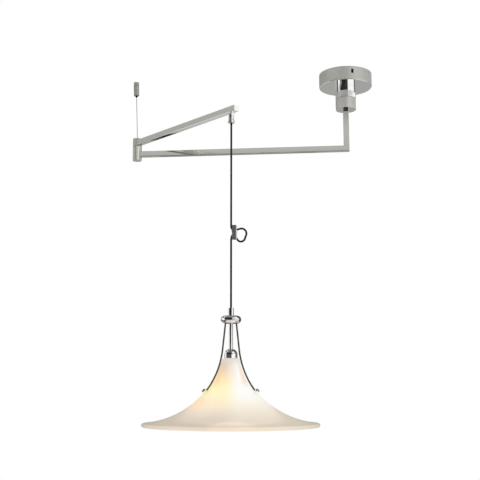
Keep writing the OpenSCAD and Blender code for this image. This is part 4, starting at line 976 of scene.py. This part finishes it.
def soft_lamp(name, place, size, power):
    """A lamp with a wide soft face, turned to the middle of the light."""
    lamp = bpy.data.lights.new(name, "AREA")
    lamp.shape, lamp.size, lamp.size_y, lamp.energy = "RECTANGLE", size[0], size[1], power
    stand = bpy.data.objects.new(name, lamp)
    stand.location = place
    stand.rotation_euler = (Vector(MIDDLE) - Vector(place)).to_track_quat("-Z", "Y").to_euler()
    stand.visible_glossy = False
    bpy.context.scene.collection.objects.link(stand)


MIDDLE = (-0.25, -0.15, -0.4)
soft_lamp("lamp_left", (-2.2, -1.6, 0.2), (1.2, 1.8), 22)
soft_lamp("lamp_right", (1.9, -1.5, 0.0), (1.2, 1.8), 26)
soft_lamp("lamp_top", (-0.3, -0.6, 1.6), (2.2, 1.6), 22)


def gloss_only(card, tone, top_tone, low, high):
    """Lets only the gloss of metal and glass see a card of the studio."""
    finish = Finish(card.name + "_tone")
    height = finish.part(finish.place(), "Z")
    finish.set(base_color=(0, 0, 0), roughness=1.0, specular_ior_level=0.0, emission_strength=1.0,
               emission_color=finish.mixed(finish.between(height, low, high), (tone,) * 3, (top_tone,) * 3))
    dress(card, finish.material)
    card.visible_camera = card.visible_diffuse = card.visible_transmission = card.visible_shadow = False


def studio_card(name, start, end, low, high, tone, top_tone=None, reach=2.6, middle=MIDDLE):
    """A curved card round the light: from and to an angle, counted from the camera to the right."""
    card = one_point(name)
    a = math.radians(start)
    bpy.ops.transform.translate(value=(middle[0] + reach * math.sin(a), middle[1] - reach * math.cos(a), low))
    extrude((0, 0, high - low))
    bpy.ops.mesh.select_all(action="SELECT")
    bpy.ops.mesh.spin(steps=max(4, round(abs(end - start) / 4)), angle=math.radians(end - start),
                      center=(middle[0], middle[1], 0), axis=(0, 0, -1))
    bpy.ops.object.mode_set(mode="OBJECT")
    gloss_only(card, tone, tone if top_tone is None else top_tone, low, high)


# Cards of the room: name, from and to an angle, lower and upper edge, tone, tone at the top, reach
ROOM_CARDS = [
    ("flag_low", -76, 12, -0.80, -0.47, 0.08),
    ("deep_left_edge", -122, -101, -1.5, -0.80, 0.02),
    ("deep_left", -74, -22, -1.5, -0.80, 0.09),
    ("deep_middle", -22, 27, -1.5, -0.80, 0.04),
    ("deep_right_edge", 108, 140, -1.5, -0.80, 0.03),
    ("flag_crown", -72, 10, -0.47, -0.15, 0.02),
    ("flag_bar", -125, 4, -0.15, 0.10, 0.04),
    ("low_right", 12, 46, -0.42, -0.1, 0.36),
    ("low_right_back", 106, 150, -0.80, -0.1, 0.15),
    ("low_left_back", -156, -128, -0.80, -0.1, 0.38),
    ("grey_fade", -125, 4, 0.10, 0.26, 0.10, 0.30),
    ("grey_band_left", -130, -60, 0.26, 0.74, 0.40, 0.48),
    ("grey_band", -60, 17, 0.26, 0.74, 0.30, 0.63),
    ("grey_band_right", 46, 130, 0.26, 0.64, 0.30, 0.56),
    ("knuckle_left", -62, -30, 0.40, 0.64, 0.28, None, 2.55),
    ("knuckle_right", 60, 98, 0.40, 0.63, 0.28, None, 2.55),
    ("brown_middle", -62, 27, 0.74, 0.945, 0.32),
    ("brown_right", 27, 110, 0.74, 0.92, 0.60),
    ("brown_right_edge", 114, 134, 0.74, 0.92, 0.30),
    ("brown_left", -103, -62, 0.74, 1.4, 0.42),
    ("flag_high", -62, 30, 0.945, 1.4, 0.60),
    ("overhead", -64, 28, 1.4, 9.0, 0.18),
    ("high_left_edge", -146, -103, 0.94, 1.4, 0.02),
    ("brown_left_edge", -146, -103, 0.74, 0.94, 0.33),
    ("high_right", 72, 108, 0.92, 1.4, 0.65),
    ("high_right_edge", 114, 134, 0.92, 1.4, 0.02),
    ("high_back", 138, 212, 0.74, 1.5, 0.28),
    ("flag_back", 138, 222, -0.10, 0.74, 0.03),
    ("low_back", 120, 240, -2.0, -0.45, 0.37),
    ("low_back_swing", 173, 200, -1.25, -0.86, 0.58, None, 2.55),
    ("low_back_brown", 171, 189, -0.858, -0.45, 0.22, None, 2.55),
]
# Small cards round the cord, with their reach last
NEAR_CARDS = [
    ("near_crown", -80, 14, -0.60, -0.12, 0.02, 0.6),
    ("near_crown_right", 14, 46, -0.50, -0.40, 0.30, 0.6),
    ("near_white", -124, -80, -0.56, -0.30, 1.0, 0.6),
    ("near_low_right", 14, 100, -0.76, -0.655, 0.12, 0.6),
    ("near_low_left", -130, -72, -1.0, -0.67, 0.05, 0.28),
    ("near_glow", -66, 70, -1.02, -0.76, 0.85, 0.28),
    ("near_top_front", -105, 12, -0.48, -0.36, 0.10, 0.13),
    ("near_top_middle", 12, 50, -0.48, -0.36, 0.32, 0.13),
    ("near_top_right", 96, 178, -0.65, -0.36, 0.08, 0.13),
    ("near_top_left", -178, -130, -0.60, -0.36, 0.10, 0.13),
    ("near_gland", -78, 9, -0.172, -0.150, 0.15, 0.03),
]
for card in ROOM_CARDS:
    studio_card(*card)
for *card, reach in NEAR_CARDS:
    studio_card(*card, reach=reach, middle=CORD)
for name, r, at, tone in (("disc_below", 1.3, (-0.55, -0.7, -1.28), 0.03),
                          ("disc_above", 2.05, (-0.26, -0.7, 2.4), 0.22)):
    gloss_only(disc(name, r, 48, at), tone, tone, -2, 2)


class Backdrop(Finish):
    """The world round the light, with the same sums as a finish."""

    def __init__(self, name):
        self.world = bpy.data.worlds.new(name)
        self.world.use_nodes = True
        self.tree = self.world.node_tree
        self.tree.nodes.clear()


# White where the camera, glass or gloss sees it, and dim as a light
backdrop = Backdrop("studio")
bpy.context.scene.world = backdrop.world
seen, through, mirrored = [backdrop.node("ShaderNodeLightPath", {}, out=f"Is {way} Ray")
                           for way in ("Camera", "Transmission", "Glossy")]
seen = seen.sum_with("MAXIMUM", seen.sum_with("MAXIMUM", seen, through), mirrored)
dim, bright = [backdrop.node("ShaderNodeBackground", {}, (1, 1, 1), strength) for strength in (0.55, 1.0)]
both = backdrop.node("ShaderNodeMixShader", {}, seen, dim, bright)
backdrop.tree.links.new(both.socket, backdrop.tree.nodes.new("ShaderNodeOutputWorld").inputs[0])

bpy.context.scene.view_settings.view_transform = "Standard"
let_go()
